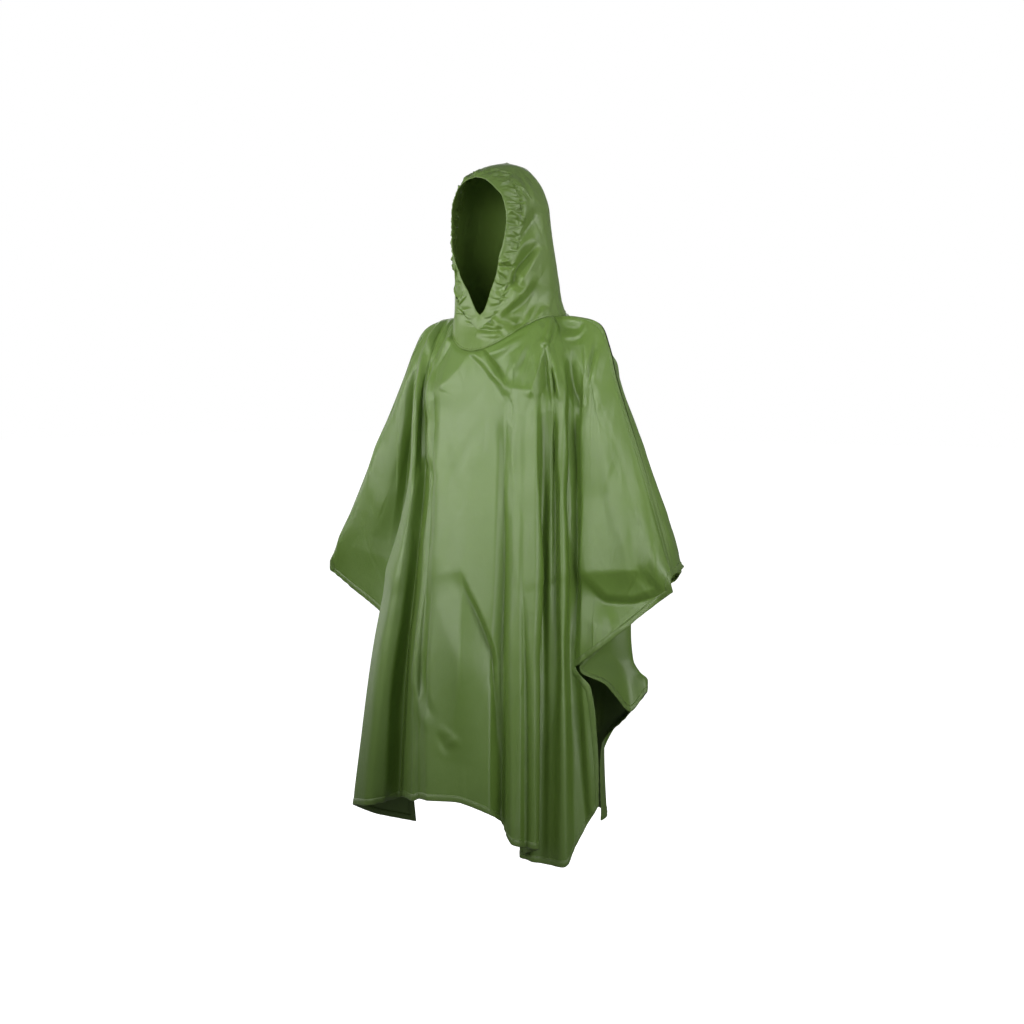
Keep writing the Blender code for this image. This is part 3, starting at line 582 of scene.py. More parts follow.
# The back's creases, drawn on a plane that faces the back: across is towards the wearer's right.
BACK_PLANE = 180.0
BACK_CREASES = (
    ("nape fold left", 14, 46, 2,
     (-52, -12, 0), (-74, -60, 5), (-96, -120, 7), (-118, -190, 4), (-128, -260, 0)),
    ("nape fold right", 50, 13, 1.8,
     (40, -18, 0), (66, -55, 5), (82, -110, 6), (94, -170, 5), (98, -240, 0)),
    ("nape hollow", 22, 26, 3,
     (4, -20, 0), (-4, -60, -5), (4, -110, -6), (10, -180, 0)),
    ("left blade crinkle one", 9, 7, 1.4,
     (-118, -12, 0), (-142, -40, 4), (-160, -78, 4), (-170, -120, 0)),
    ("left blade crinkle two", 8, 8, 1.4,
     (-136, -10, 0), (-162, -34, -4), (-182, -74, -4), (-188, -110, 0)),
    ("left blade crinkle three", 7, 9, 1.4,
     (-156, -14, 0), (-178, -40, 3), (-198, -86, 4), (-204, -130, 0)),
    ("right blade crinkle one", 8, 10, 1.4,
     (124, -14, 0), (146, -42, 4), (158, -90, 4), (160, -140, 0)),
    ("right blade crinkle two", 8, 7, 1.4,
     (144, -12, 0), (168, -44, -4), (180, -82, -3), (184, -116, 0)),
    ("left pinch stem", 9, 6, 1.4,
     (-86, -60, 0), (-92, -86, 5), (-100, -120, 6), (-104, -180, 4), (-106, -260, 0)),
    ("left pinch leg", 6, 12, 1.4,
     (-92, -86, 4), (-78, -124, 6), (-70, -164, 4), (-66, -220, 0)),
    ("left arm valley", 26, 12, 2.5,
     (-226, -150, 0), (-232, -230, -7), (-240, -340, -9), (-250, -450, -6), (-254, -540, 0)),
    ("right arm valley", 12, 28, 2.5,
     (222, -130, 0), (230, -240, -8), (238, -350, -9), (246, -470, -5), (248, -560, 0)),
    ("left sleeve break", 52, 34, 2,
     (-270, -420, 0), (-300, -400, 7), (-340, -402, 8), (-376, -424, 4), (-396, -450, 0)),
    ("left sleeve hollow", 22, 30, 2,
     (-280, -452, 0), (-310, -444, -6), (-344, -448, -6), (-374, -468, 0)),
    ("right sleeve break", 30, 50, 2,
     (266, -380, 0), (296, -390, 7), (330, -416, 8), (362, -450, 5), (380, -486, 0)),
    ("right sleeve crease", 16, 24, 1.8,
     (262, -300, 0), (286, -350, -5), (306, -410, -5), (318, -466, 0)),
    ("seat facet left", 30, 52, 1.6,
     (-58, -560, 0), (-56, -610, 5), (-50, -660, 8), (-60, -730, 4), (-66, -780, 0)),
    ("seat facet right", 46, 28, 1.8,
     (-56, -566, 0), (-30, -616, -5), (-8, -668, -7), (-4, -730, -3), (-6, -790, 0)),
    ("low crinkle one", 12, 9, 1.5,
     (58, -742, 0), (76, -760, 4), (98, -772, 3), (112, -790, 0)),
    ("low crinkle two", 9, 14, 1.5,
     (40, -800, 0), (62, -782, -4), (84, -776, -3), (100, -762, 0)),
    ("long skirt ridge", 26, 12, 1.8,
     (118, -420, 0), (122, -520, 5), (116, -640, 7), (112, -780, 6), (110, -960, 4)),
    ("long skirt crease", 10, 18, 1.8,
     (-130, -360, 0), (-126, -500, -4), (-132, -640, -6), (-128, -820, -6), (-126, -970, -4)),
)

# Small creases from handling, at random: count, then the ranges of their length, width and height, the
# rounding of their crest, and how far they lean from the fall of the cloth.
PANEL_HANDLING = (
    (60, (0.15, 0.45), (0.020, 0.045), (0.0008, 0.0024), 0.006, 0.18),
    (150, (0.03, 0.15), (0.005, 0.016), (0.0002, 0.0007), 0.001, 0.35),
)
HOOD_HANDLING = (40, (0.03, 0.12), (0.005, 0.016), (0.0003, 0.0009), 0.001, 0.5)
HANDLING_SKEW = (0.4, 1.0)  # width of a small crease's second side, as a share of the first one's
HANDLING_ENDS = 0.35     # share of its width that is left at its ends
LAYER_GAP = 0.05         # cloth further than this in front of it or behind it is another layer
HANDLING_SEED = 3

# Gathers of the elastic: share of deep ones, and the ranges of each kind's width and height.
DEEP_GATHERS = 0.74
DEEP_GATHER = ((0.0032, 0.0052), (0.0036, 0.0058))
SHALLOW_GATHER = ((0.0020, 0.0034), (0.0014, 0.0028))
GATHER_SPACING = (0.0036, 0.0078)
FIRST_GATHER = 0.012     # distance of the first one from the tip under the chin
LAST_GATHER = 0.01       # and how far past the top of the forehead they go on
GATHER_ROUND = 0.0009
GATHER_LIMIT = 0.0065    # crossing gathers together rise no higher than this
# Their slants and bends: the spread, and what is added at the brow and the chin.
GATHER_SLANT = 0.36
BROW_SLANT = -0.8
CHIN_SLANT = 0.5
GATHER_BEND = 9.0
# How far in from the face edge they end, and what is added at the brow and the chin.
GATHER_END = (0.017, 0.034)
BROW_END = (0.006, 0.034)
CHIN_END = 0.014
# Share of them that begin at the face edge, and how far in from it these and the others begin.
EDGE_GATHERS = 0.75
EDGE_START = (-0.004, 0.003)
INNER_START = (0.006, 0.014)
END_CURVE = 2.4          # above 1, a gather keeps its height until close to its ends
SUNK_GATHERS = 0.6       # share of them that sink in, where the others stand out
# A gather has this share of its height at the face edge, and all of it this far in.
EDGE_HEIGHT = 0.35
EDGE_BLEND = 0.008
# At the chin they are wider, lower and further apart by these shares.
CHIN_WIDER = 0.5
CHIN_LOWER = 0.35
CHIN_SPACING = 0.3
# Chin, brow and top of the forehead, as shares of the way from the tip: where each begins or ends, and the
# share over which it does so.
CHIN_STRETCH = (0.28, 0.2)
BROW_STRETCH = (0.62, 0.2)
TOP_STRETCH = (0.92, 0.08)
HOOD_SEED = 11

# ---------------------------------------------------------------- colours
BODY_GREEN = (0.131, 0.228, 0.035)
BODY_SHADE = (0.114, 0.202, 0.029)
HOOD_GREEN = (0.133, 0.222, 0.036)
HOOD_SHADE = (0.113, 0.194, 0.030)
HEM_GREEN = (0.139, 0.230, 0.045)
HEM_SHADE = (0.118, 0.202, 0.037)
THREAD_GREEN = (0.20, 0.28, 0.11)
CLOTH_ROUGHNESS = 0.44
HEM_ROUGHNESS = 0.47

# ---------------------------------------------------------------- camera and lights
CAMERA_TURN = 38.0
CAMERA_RISE = 4.0
CAMERA_DISTANCE = 4.0
CAMERA_AIM = (0.0, 0.0, -0.387)
CAMERA_LENS = 70.3125
FLOOR_Z = -1.46
FLOOR_HALF = 30.0

# Area lights: name, turn, distance out, height, height they are aimed at, size, power, spread in degrees.
LIGHTS = (
    ("left key", -38.0, 1.9, 0.24, -0.04, (0.9, 0.8), 3.4, 78.0),
    ("front key", 6.0, 1.9, 0.34, -0.04, (0.8, 0.7), 2.6, 66.0),
    ("right fill", 72.0, 2.0, 0.0, -0.45, (0.9, 1.0), 2.3, 60.0),
    ("hood side", 108.0, 1.6, 0.40, 0.12, (0.6, 0.6), 0.55, 36.0),
    ("left fill", -96.0, 2.0, -0.3, -0.45, (0.8, 1.2), 1.1, 90.0),
    ("overhead", 20.0, 0.5, 2.4, 0.0, (2.0, 2.0), 3.5, 180.0),
    ("rear", 222.0, 2.8, 0.3, -0.4, (1.5, 2.0), 24.0, 180.0),
)


# ---------------------------------------------------------------- curves and tables
def table_values(table, keys, column):
    """Smooth values of one column of a table whose first column rises or falls steadily."""
    known = np.array([row[0] for row in table])
    values = np.array([row[column] for row in table])
    if known[0] > known[-1]:
        known, values = known[::-1], values[::-1]
    keys = np.clip(np.asarray(keys, float), known[0], known[-1])
    k = np.clip(np.searchsorted(known, keys, side="right") - 1, 0, len(known) - 2)
    slopes = np.diff(values) / np.diff(known)
    tangents = np.concatenate([slopes[:1], np.zeros(len(slopes) - 1), slopes[-1:]])
    same = slopes[:-1] * slopes[1:] > 0.0
    both = slopes[:-1] + slopes[1:]
    tangents[1:-1] = np.where(same, 2.0 * slopes[:-1] * slopes[1:] / np.where(same, both, 1.0), 0.0)
    span = known[k + 1] - known[k]
    f = (keys - known[k]) / span
    return (
        (1 + 2 * f) * (1 - f) ** 2 * values[k]
        + f * (1 - f) ** 2 * span * tangents[k]
        + f * f * (3 - 2 * f) * values[k + 1]
        + f * f * (f - 1) * span * tangents[k + 1]
    )


def spline(points, count):
    """Points along smooth curves through the given ones, with `count` steps between neighbours.

    `points` holds one array for each given point, and may carry many curves at once.
    """
    points = [np.asarray(p, float) for p in points]
    ends = [2 * points[0] - points[1]] + points + [2 * points[-1] - points[-2]]

    def root_length(v):
        return np.maximum(np.linalg.norm(v, axis=-1, keepdims=True), 1e-6) ** 0.5

    samples = [points[0]]
    for k in range(len(points) - 1):
        p0, p1, p2, p3 = ends[k:k + 4]
        d1, d2, d3 = root_length(p1 - p0), root_length(p2 - p1), root_length(p3 - p2)
        m1 = p2 - p1 + d2 * ((p1 - p0) / d1 - (p2 - p0) / (d1 + d2))
        m2 = p2 - p1 + d2 * ((p3 - p2) / d3 - (p3 - p1) / (d2 + d3))
        for step in range(1, count + 1):
            f = step / count
            samples.append(
                (1 + 2 * f) * (1 - f) ** 2 * p1
                + f * (1 - f) ** 2 * m1
                + f * f * (3 - 2 * f) * p2
                + f * f * (f - 1) * m2
            )
    return np.array(samples)


def straight(points, count):
    """Points on straight runs between the given ones, as many to each run as the spline has."""
    points = np.array(points)
    place = np.arange((len(points) - 1) * count + 1) / count
    first = np.minimum(place.astype(int), len(points) - 2)
    share = (place - first).reshape((-1,) + (1,) * (points.ndim - 1))
    return points[first] * (1 - share) + points[first + 1] * share


def eased(section):
    """The section with its corners rounded over a few columns, its two ends kept."""
    padded = np.concatenate([section[:1]] * 3 + [section] + [section[-1:]] * 3)
    weights = (1, 3, 6, 7, 6, 3, 1)
    soft = sum(w * padded[i:i + len(section)] for i, w in enumerate(weights)) / sum(weights)
    soft[0], soft[-1] = section[0], section[-1]
    return soft


def running_length(points):
    """Distance along a polyline to each of its points."""
    return np.concatenate([[0.0], np.cumsum(np.linalg.norm(np.diff(points, axis=0), axis=1))])


def rows_at(at, reach, rows):
    """Rows between the given ones, which stand at known distances."""
    return np.stack([np.interp(at, reach, rows[:, axis]) for axis in range(rows.shape[1])], axis=-1)


def along(points, shares):
    """Points at shares of a polyline's length."""
    reach = running_length(points)
    return rows_at(np.asarray(shares) * reach[-1], reach, points)


def unit(vectors):
    return vectors / np.maximum(np.linalg.norm(vectors, axis=-1, keepdims=True), 1e-12)


def smooth(f):
    f = np.clip(f, 0.0, 1.0)
    return f * f * (3.0 - 2.0 * f)


def facing(turn, rise):
    """Direction at a turn from the centre front, towards the wearer's left, and a rise, both in degrees."""
    turn, rise = math.radians(turn), math.radians(rise)
    return np.array([math.sin(turn) * math.cos(rise), -math.cos(turn) * math.cos(rise), math.sin(rise)])


# ---------------------------------------------------------------- the panels' form
SEAM_POINTS = 12  # points of an arm seam's curve from one row of its table to the next
SEAM_CURVES = {
    side: spline([row[1:] for row in table], SEAM_POINTS)
    for side, table in ((1, SEAM_LEFT), (-1, SEAM_RIGHT))
}


def seam_between(start, end, shares, side):
    """Points at shares of the way between two named places on an arm seam."""
    names = [row[0] for row in SEAM_LEFT]
    run = slice(names.index(start) * SEAM_POINTS, names.index(end) * SEAM_POINTS + 1)
    return along(SEAM_CURVES[side][run], shares)


def neck_point(turn):
    """Point of the neck seam; the turn is 0 at the centre front and 180 at the centre back."""
    turn = math.radians(turn)
    forward = math.cos(turn)
    drop = -NECK_FRONT_DROP * forward ** 2 if forward > 0 else NECK_BACK_RISE * forward ** 2
    return np.array([NECK_HALF_WIDTH * math.sin(turn), NECK_CENTRE_Y - NECK_HALF_DEPTH * forward, drop])


def top_point(top, back):
    """Point of a panel's top edge: the neck between -0.5 and 0.5, the shoulder seam beyond."""
    shift = np.array([0.0, SEAM_HALF_SHIFT if back else -SEAM_HALF_SHIFT, 0.0])
    if abs(top) <= 0.5:
        return neck_point(180.0 * (top + back)) + shift
    side = 1 if (top > 0) != back else -1
    return seam_between("neck side", "shoulder point", (abs(top) - 0.5) / 0.5, side) + shift


def body_ovals(z, turn, out):
    """Points of the body cloth's oval at each height."""
    turn = np.radians(turn)
    behind = np.cos(turn) < 0
    width = np.where(behind, table_values(BODY, z, 4), table_values(BODY, z, 1))
    depth = np.where(behind, table_values(BODY, z, 3), table_values(BODY, z, 2))
    return np.stack([width * np.sin(turn) * (1 + out), -depth * np.cos(turn) * (1 + out)], axis=-1)


def fold_line(fold, shares, back):
    """Points of one fold line at shares of the panel's height."""
    _, top, turn_chest, turn_hem, out_chest, out_hem, hem_z = fold
    start = top_point(top, back)
    z = start[2] + (hem_z - start[2]) * shares
    fall = np.clip((CHEST_Z - z) / (CHEST_Z - HEM_Z), 0.0, 1.0)
    opened = np.clip((start[2] - z) / FOLD_OPENING, 0.0, 1.0)
    left_over = 1.0 - np.sqrt(1.0 - (1.0 - np.minimum((start[2] - z) / SHOULDER_REACH, 1.0)) ** 2)
    turn = turn_chest + (turn_hem - turn_chest) * fall
    start_turn = 180.0 * (min(max(top, -0.5), 0.5) + back)
    turn = turn + (start_turn - turn) * SHOULDER_SPREAD * left_over
    ovals = body_ovals(z, turn, (out_chest + (out_hem - out_chest) * fall) * opened)
    return np.column_stack([ovals + (start[:2] - ovals) * left_over[:, None], z])


def edge_line(table, shares):
    """Points of a side edge at shares of the panel's height."""
    return np.stack([table_values(table, shares, column) for column in (1, 2, 3)], axis=-1)


def panel_lines(back, shares):
    """The fold lines and side edges of a panel, with their places on its top edge."""
    if back:
        tables = (BACK_EDGE_LEFT, BACK_CREASE_LEFT, BACK_RUFFLE_LEFT)
        tops = [-1.0, -0.88, -0.76, *(fold[1] for fold in BACK_FOLDS), 1.0]
        lines = [edge_line(table, shares) for table in tables]
        lines += [fold_line(fold, shares, True) for fold in BACK_FOLDS]
        return [*lines, edge_line(BACK_EDGE_RIGHT, shares)], tops
    tops = [-1.0, *(fold[1] for fold in FRONT_FOLDS), 1.0]
    lines = [edge_line(FRONT_EDGE_RIGHT, shares)]
    lines += [fold_line(fold, shares, False) for fold in FRONT_FOLDS]
    return [*lines, edge_line(FRONT_EDGE_LEFT, shares)], tops


def row_shares(back):
    """Shares of the height for rows that are closer over the shoulders, and the row where the edges meet."""
    dense = np.linspace(0.0, 1.0, PROBE_ROWS) ** PROBE_CURVE
    lines, _ = panel_lines(back, dense)
    steps = np.mean([np.linalg.norm(np.diff(line, axis=0), axis=1) for line in lines], axis=0)
    reach = np.concatenate([[0.0], np.cumsum(steps)])
    snap = np.interp(SNAP_ROW, dense, reach)
    step = np.interp(reach, FINE_REACH, (FINE_STEP, STEP))
    rows = np.concatenate([[0.0], np.cumsum(np.diff(reach) / step[1:])])
    at_snap = np.interp(snap, reach, rows)
    above = np.interp(np.linspace(0.0, at_snap, int(round(at_snap)) + 1), rows, reach)
    below = np.interp(np.linspace(at_snap, rows[-1], int(round(rows[-1] - at_snap)) + 1)[1:], rows, reach)
    shares = np.interp(np.concatenate([above, below]), reach, dense)
    shares[len(above) - 1] = SNAP_ROW
    return shares, len(above) - 1


def sleeve_surface(inner, down, cuff, back):
    """Points of a sleeve by row and column, from the body's column beside it out to the wrist."""
    direction = 1.0 if back else -1.0
    side = 1 if cuff[0] > 0 else -1
    reach = np.linspace(0.0, 1.0, SLEEVE_COLUMNS + 1)[:, None]
    seam = seam_between("shoulder point", "wrist", reach[:, 0], side)
    seam = seam + np.array([0.0, direction * SEAM_HALF_SHIFT, 0.0])
    edge = inner[-1] + (np.array(cuff) - inner[-1]) * reach
    fall = np.linalg.norm(edge - seam, axis=1, keepdims=True)
    roll = np.minimum(SEAM_ROLL, ROLL_LIMIT * fall)
    swell = SEAM_SWELL * np.sin(math.pi * reach)
    lift = np.full_like(roll, direction * ROLL_RISE)
    over = seam + np.concatenate([side * direction * swell, direction * roll, lift], axis=1)
    bulge = (BACK_BULGE if back else FRONT_BULGE) * direction * (1 - BULGE_TAPER * reach)
    low = edge + np.concatenate([np.zeros_like(bulge), bulge, BULGE_HEIGHT * fall], axis=1)
    f = down[:, None, None]
    curve = (1 - f) ** 3 * seam + 3 * f * (1 - f) ** 2 * over + 3 * f * f * (1 - f) * low + f ** 3 * edge
    return curve + (inner[:, None] - curve[:, :1]) * ((1 - reach) ** BODY_BLEND)[None]


class Sheet:
    """A cloth on a grid: its points, its faces, and named grids of point numbers that its sewing follows."""

    def __init__(self):
        self.points = np.zeros((0, 3))
        self.faces = []
        self.grids = {}

    def add(self, name, surface, shared=None, flip=False):
        """Adds a grid of points. `shared` are the numbers of points that its first column has already."""
        rows, columns = surface.shape[:2]
        numbers = np.zeros((rows, columns), int)
        fresh = surface if shared is None else surface[:, 1:]
        new = np.arange(fresh.shape[0] * fresh.shape[1]).reshape(fresh.shape[:2]) + len(self.points)
        if shared is None:
            numbers[:] = new
        else:
            numbers[:, 0], numbers[:, 1:] = shared, new
        self.points = np.vstack([self.points, fresh.reshape(-1, 3)])
        order = numbers[:, ::-1] if flip else numbers
        quads = np.stack([order[:-1, :-1], order[1:, :-1], order[1:, 1:], order[:-1, 1:]], axis=-1)
        self.faces.extend(map(tuple, quads.reshape(-1, 4)))
        self.grids[name] = numbers

    def normals(self):
        """The normal at each point, from the faces round it."""
        quads = np.array([face for face in self.faces if len(face) == 4])
        p = self.points
        across = np.cross(p[quads[:, 2]] - p[quads[:, 0]], p[quads[:, 3]] - p[quads[:, 1]])
        total = np.zeros_like(p)
        for corner in range(4):
            np.add.at(total, quads[:, corner], across)
        return unit(total)


def panel_sheet(back):
    """The front or back panel with its two sleeves."""
    shares, snap = row_shares(back)
    lines, tops = panel_lines(back, shares)
    round_form = spline(lines, COLUMNS_PER_FOLD)
    flat_form = straight(lines, COLUMNS_PER_FOLD)
    section = eased(round_form * (1 - CRISPNESS) + flat_form * CRISPNESS)
    places = np.interp(np.arange(len(section)) / COLUMNS_PER_FOLD, np.arange(len(tops)), tops)
    slack = np.array([top_point(place, back) for place in places]) - section[:, 0]
    held = np.maximum(1.0 - shares / TOP_EDGE_HOLD, 0.0) ** 2
    body = (section + slack[:, None] * held[None, :, None]).transpose(1, 0, 2)
    sheet = Sheet()
    sheet.add("body", body)
    down = shares[:snap + 1] / SNAP_ROW
    first, last = ("left", "right") if back else ("right", "left")
    layer = "back" if back else "front"
    for name, column, flip in ((first, 0, True), (last, -1, False)):
        inner = body[:snap + 1, column]
        surface = sleeve_surface(inner, down, CUFF[f"{layer} {name}"], back)
        sheet.add(f"{name} sleeve", surface, sheet.grids["body"][:snap + 1, column], flip)
    sheet.snap = snap
    return sheet


# ---------------------------------------------------------------- creases on the cloth
def lifted(sheet, plane, rise):
    """The sheet's points moved by `rise`: towards the plane where they face it, else along their normals."""
    towards = facing(plane, 0.0)
    normals = sheet.normals()
    share = np.clip(normals @ towards, 0.0, 1.0)[:, None]
    return sheet.points + unit(normals * (1.0 - share) + towards * share) * rise[:, None]


def fold_profile(distance, reach, round_off):
    """Height of a crease at a distance from its line: two nearly flat sides and a narrow rounded top."""
    slope = (np.sqrt(distance ** 2 + round_off ** 2) - round_off) / reach
    return np.clip(1.0 - slope, 0.0, 1.0) ** CREASE_CURVE


def crease_rise(points, plane, creases):
    """How far each point is lifted by creases drawn on a plane turned by `plane` degrees."""
    turn = math.radians(plane)
    seen = np.column_stack([points[:, 0] * math.cos(turn) + points[:, 1] * math.sin(turn), points[:, 2]])
    rise = np.zeros(len(points))
    for _, left, right, round_off, *path in creases:
        left, right, round_off = left * MM, right * MM, round_off * MM
        path = spline([np.array(point) * MM for point in path], PATH_STEPS)
        reach = max(left, right)
        low, high = path[:, :2].min(0) - reach, path[:, :2].max(0) + reach
        near = np.flatnonzero(np.all((seen > low) & (seen < high), axis=1))
        best = np.full(len(near), 1e9)
        side = np.zeros(len(near))
        height = np.zeros(len(near))
        for a, b in zip(path, path[1:]):
            run = b[:2] - a[:2]
            away = seen[near] - a[:2]
            f = np.clip(away @ run / max(run @ run, 1e-12), 0.0, 1.0)
            gap = np.linalg.norm(away - f[:, None] * run, axis=1)
            closer = gap < best
            best[closer] = gap[closer]
            side[closer] = (run[0] * away[:, 1] - run[1] * away[:, 0])[closer]
            height[closer] = (a[2] + (b[2] - a[2]) * f)[closer]
        rise[near] += height * fold_profile(best, np.where(side > 0, left, right), round_off)
    return rise


def seam_hold(sheet, seams):
    """The share of its creases that each point keeps, less and less over a distance in to a seam.

    `seams` are pairs of the rails that run in from a seam and that distance.
    """
    held = np.ones(len(sheet.points))
    for rails, distance in seams:
        for rail in rails:
            near = rail[:HOLD_POINTS]
            held[near] *= smooth(running_length(sheet.points[near]) / distance)
    return held


def handling_rise(sheet, numbers, seed, kind):
    """Lift from many small creases at random places among the numbered points, mostly running down."""
    count, lengths, widths, heights, round_off, lean = kind
    random = np.random.default_rng(seed)
    normals = sheet.normals()
    points = sheet.points
    rise = np.zeros(len(points))
    by_height = np.argsort(points[:, 2])
    heights_in_order = points[by_height, 2]
    for centre in random.choice(numbers, count):
        up = normals[centre]
        fall = unit(np.array([0.0, 0.0, -1.0]) + up * up[2])
        turn = random.normal(0.0, lean)
        run = fall * math.cos(turn) + np.cross(up, fall) * math.sin(turn)
        across = np.cross(up, run)
        length = random.uniform(*lengths) / 2
        width = random.uniform(*widths)
        height = random.uniform(*heights) * random.choice([-1.0, 1.0])
        bend = random.normal(0.0, 1.0)
        span = points[centre, 2] + np.array([-1.0, 1.0]) * (length + width)
        near = by_height[slice(*np.searchsorted(heights_in_order, span))]
        away = points[near] - points[centre]
        kept = (np.abs(away).max(axis=1) < length + width) & (np.abs(away @ up) < LAYER_GAP)
        near, away = near[kept], away[kept]
        a, b = away @ run, away @ across
        b = b - bend * a ** 2
        fade = np.clip(1.0 - (a / length) ** 2, 0.0, 1.0)
        skew = np.where(b > 0, 1.0, random.uniform(*HANDLING_SKEW)) * width
        skew = skew * (HANDLING_ENDS + (1.0 - HANDLING_ENDS) * fade)
        rise[near] += height * fade * fold_profile(np.abs(b), skew, round_off)
    return rise


# ---------------------------------------------------------------- sewing
def walk(sheet, rails, distances):
    """Points and normals at distances along rails, which are point numbers that run in from an edge.

    A distance below zero lies beyond the edge.
    """
    normals = sheet.normals()
    points, ups = [], []
    beyond = np.minimum(distances, 0.0)[:, None]
    for rail in rails:
        line = sheet.points[rail]
        reach = running_length(line)
        points.append(rows_at(distances, reach, line) - unit(line[0] - line[1]) * beyond)
        ups.append(rows_at(distances, reach, normals[rail]))
    return np.array(points), unit(np.array(ups))


def ribbon(sheet, rails, profile):
    """Points and faces of a band that follows a cloth's edge."""
    distances, lifts = np.array(profile).T
    points, ups = walk(sheet, rails, distances)
    band = Sheet()
    band.add("band", points + ups * lifts[None, :, None])
    return band.points, band.faces


def pucker(sheet, rails, seed, size):
    """Small waves along a sewn edge, which fade into the cloth."""
    wave, height = size
    random = np.random.default_rng(seed)
    reach = running_length(sheet.points[[rail[0] for rail in rails]])
    knots = np.linspace(0.0, reach[-1] + wave, int(reach[-1] / wave) + 3)
    drift = np.interp(reach, knots, random.uniform(-PUCKER_DRIFT, PUCKER_DRIFT, len(knots)))
    strength = np.interp(reach, knots, random.uniform(*PUCKER_STRENGTH, len(knots)))
    ripple = np.cos(2 * math.pi * reach / wave + drift * PUCKER_PHASE) * strength * height
    normals = sheet.normals()
    moved = sheet.points.copy()
    for value, rail in zip(ripple, rails):
        fade = np.exp(-(running_length(sheet.points[rail]) / PUCKER_DEPTH) ** PUCKER_CURVE)
        near = fade > PUCKER_END
        moved[rail[near]] += normals[rail[near]] * (value * fade[near])[:, None]
    sheet.points = moved


def stitch_line(sheet, rails, run):
    """Points and faces of short thread stitches along a line that runs beside a cloth's edge."""
    distance, lift = run
    points, ups = walk(sheet, rails, np.array([distance]))
    line, ups = points[:, 0], ups[:, 0]
    reach = running_length(line)
    starts = np.arange(STITCH_GAP, reach[-1] - STITCH_LENGTH, STITCH_LENGTH + STITCH_GAP)
    up = unit(rows_at(starts + STITCH_LENGTH / 2, reach, ups))
    a = rows_at(starts, reach, line) + up * lift
    b = rows_at(starts + STITCH_LENGTH, reach, line) + up * lift
    side = unit(np.cross(b - a, up)) * THREAD_RADIUS
    up = up * THREAD_RADIUS
    middle = (a + b) / 2 + up
    corners = np.stack([a - up, middle - side, middle + up * 0.4, middle + side, b - up], axis=1)
    faces = []
    for k in range(len(starts)):
        n = 5 * k
        faces += [(n, n + 1, n + 2), (n, n + 2, n + 3), (n + 4, n + 2, n + 1), (n + 4, n + 3, n + 2)]
    return corners.reshape(-1, 3), faces


def joined(parts):
    """Several lists of points and faces as one."""
    points, faces = [], []
    for some_points, some_faces in parts:
        start = sum(len(p) for p in points)
        points.append(some_points)
        faces += [tuple(number + start for number in face) for face in some_faces]
    return np.vstack(points), faces


def panel_edges(sheet, back):
    """The rails of each of a panel's edges, by name, in order along the edge."""
    body, snap = sheet.grids["body"], sheet.snap
    first, last = ("left", "right") if back else ("right", "left")
    edges = {"hem": [body[::-1, column] for column in range(body.shape[1])]}
    for name, turned in ((first, body), (last, body[:, ::-1])):
        sleeve = sheet.grids[f"{name} sleeve"]
        edges[f"{name} side"] = [turned[row] for row in range(snap, len(body))]
        edges[f"{name} sleeve hem"] = [sleeve[::-1, column] for column in range(sleeve.shape[1])]
        edges[f"{name} cuff"] = [sleeve[row, ::-1] for row in range(len(sleeve))]
        edges[f"{name} arm"] = [sleeve[:, column] for column in range(sleeve.shape[1])]
    edges["top"] = [body[:, column] for column in range(body.shape[1])]
    return edges


# ---------------------------------------------------------------- hood
def hood_points(turn, share):
    """Points of the hood at turns in degrees from the centre front and shares of its height."""
    turn, share = np.broadcast_arrays(np.asarray(turn, float), np.asarray(share, float))
    height, width, depth, centre, tuck = (table_values(HOOD, share, column) for column in (1, 2, 3, 4, 5))
    angle = np.radians(turn)
    forward = np.cos(angle)
    tuck = tuck * np.maximum(forward, 0.0) ** THROAT_NARROWNESS
    drop = np.where(forward > 0, -NECK_FRONT_DROP, NECK_BACK_RISE) * forward ** 2
    z = height + (drop + NECK_LIFT) * np.maximum(1.0 - share / NECK_BLEND, 0.0)
    return np.stack([width * np.sin(angle), centre - depth * forward + tuck, z], axis=-1)


def rim_reach(stations):
    """Distance along the face opening, from the tip, of each of its stations."""
    turns = (stations[:, 0] + stations[:, 2]) / 2
    shares = (stations[:, 1] + stations[:, 3]) / 2
    return running_length(hood_points(turns, shares))


def rim_stations():
    """Inner and outer turn and share at even steps along the face opening, from the tip upwards."""
    dense = spline(RIM, RIM_STEPS)
    reach = rim_reach(dense)
    return rows_at(np.linspace(0.0, reach[-1], GATHERS_PER_SIDE * GATHER_STEPS + 1), reach, dense)


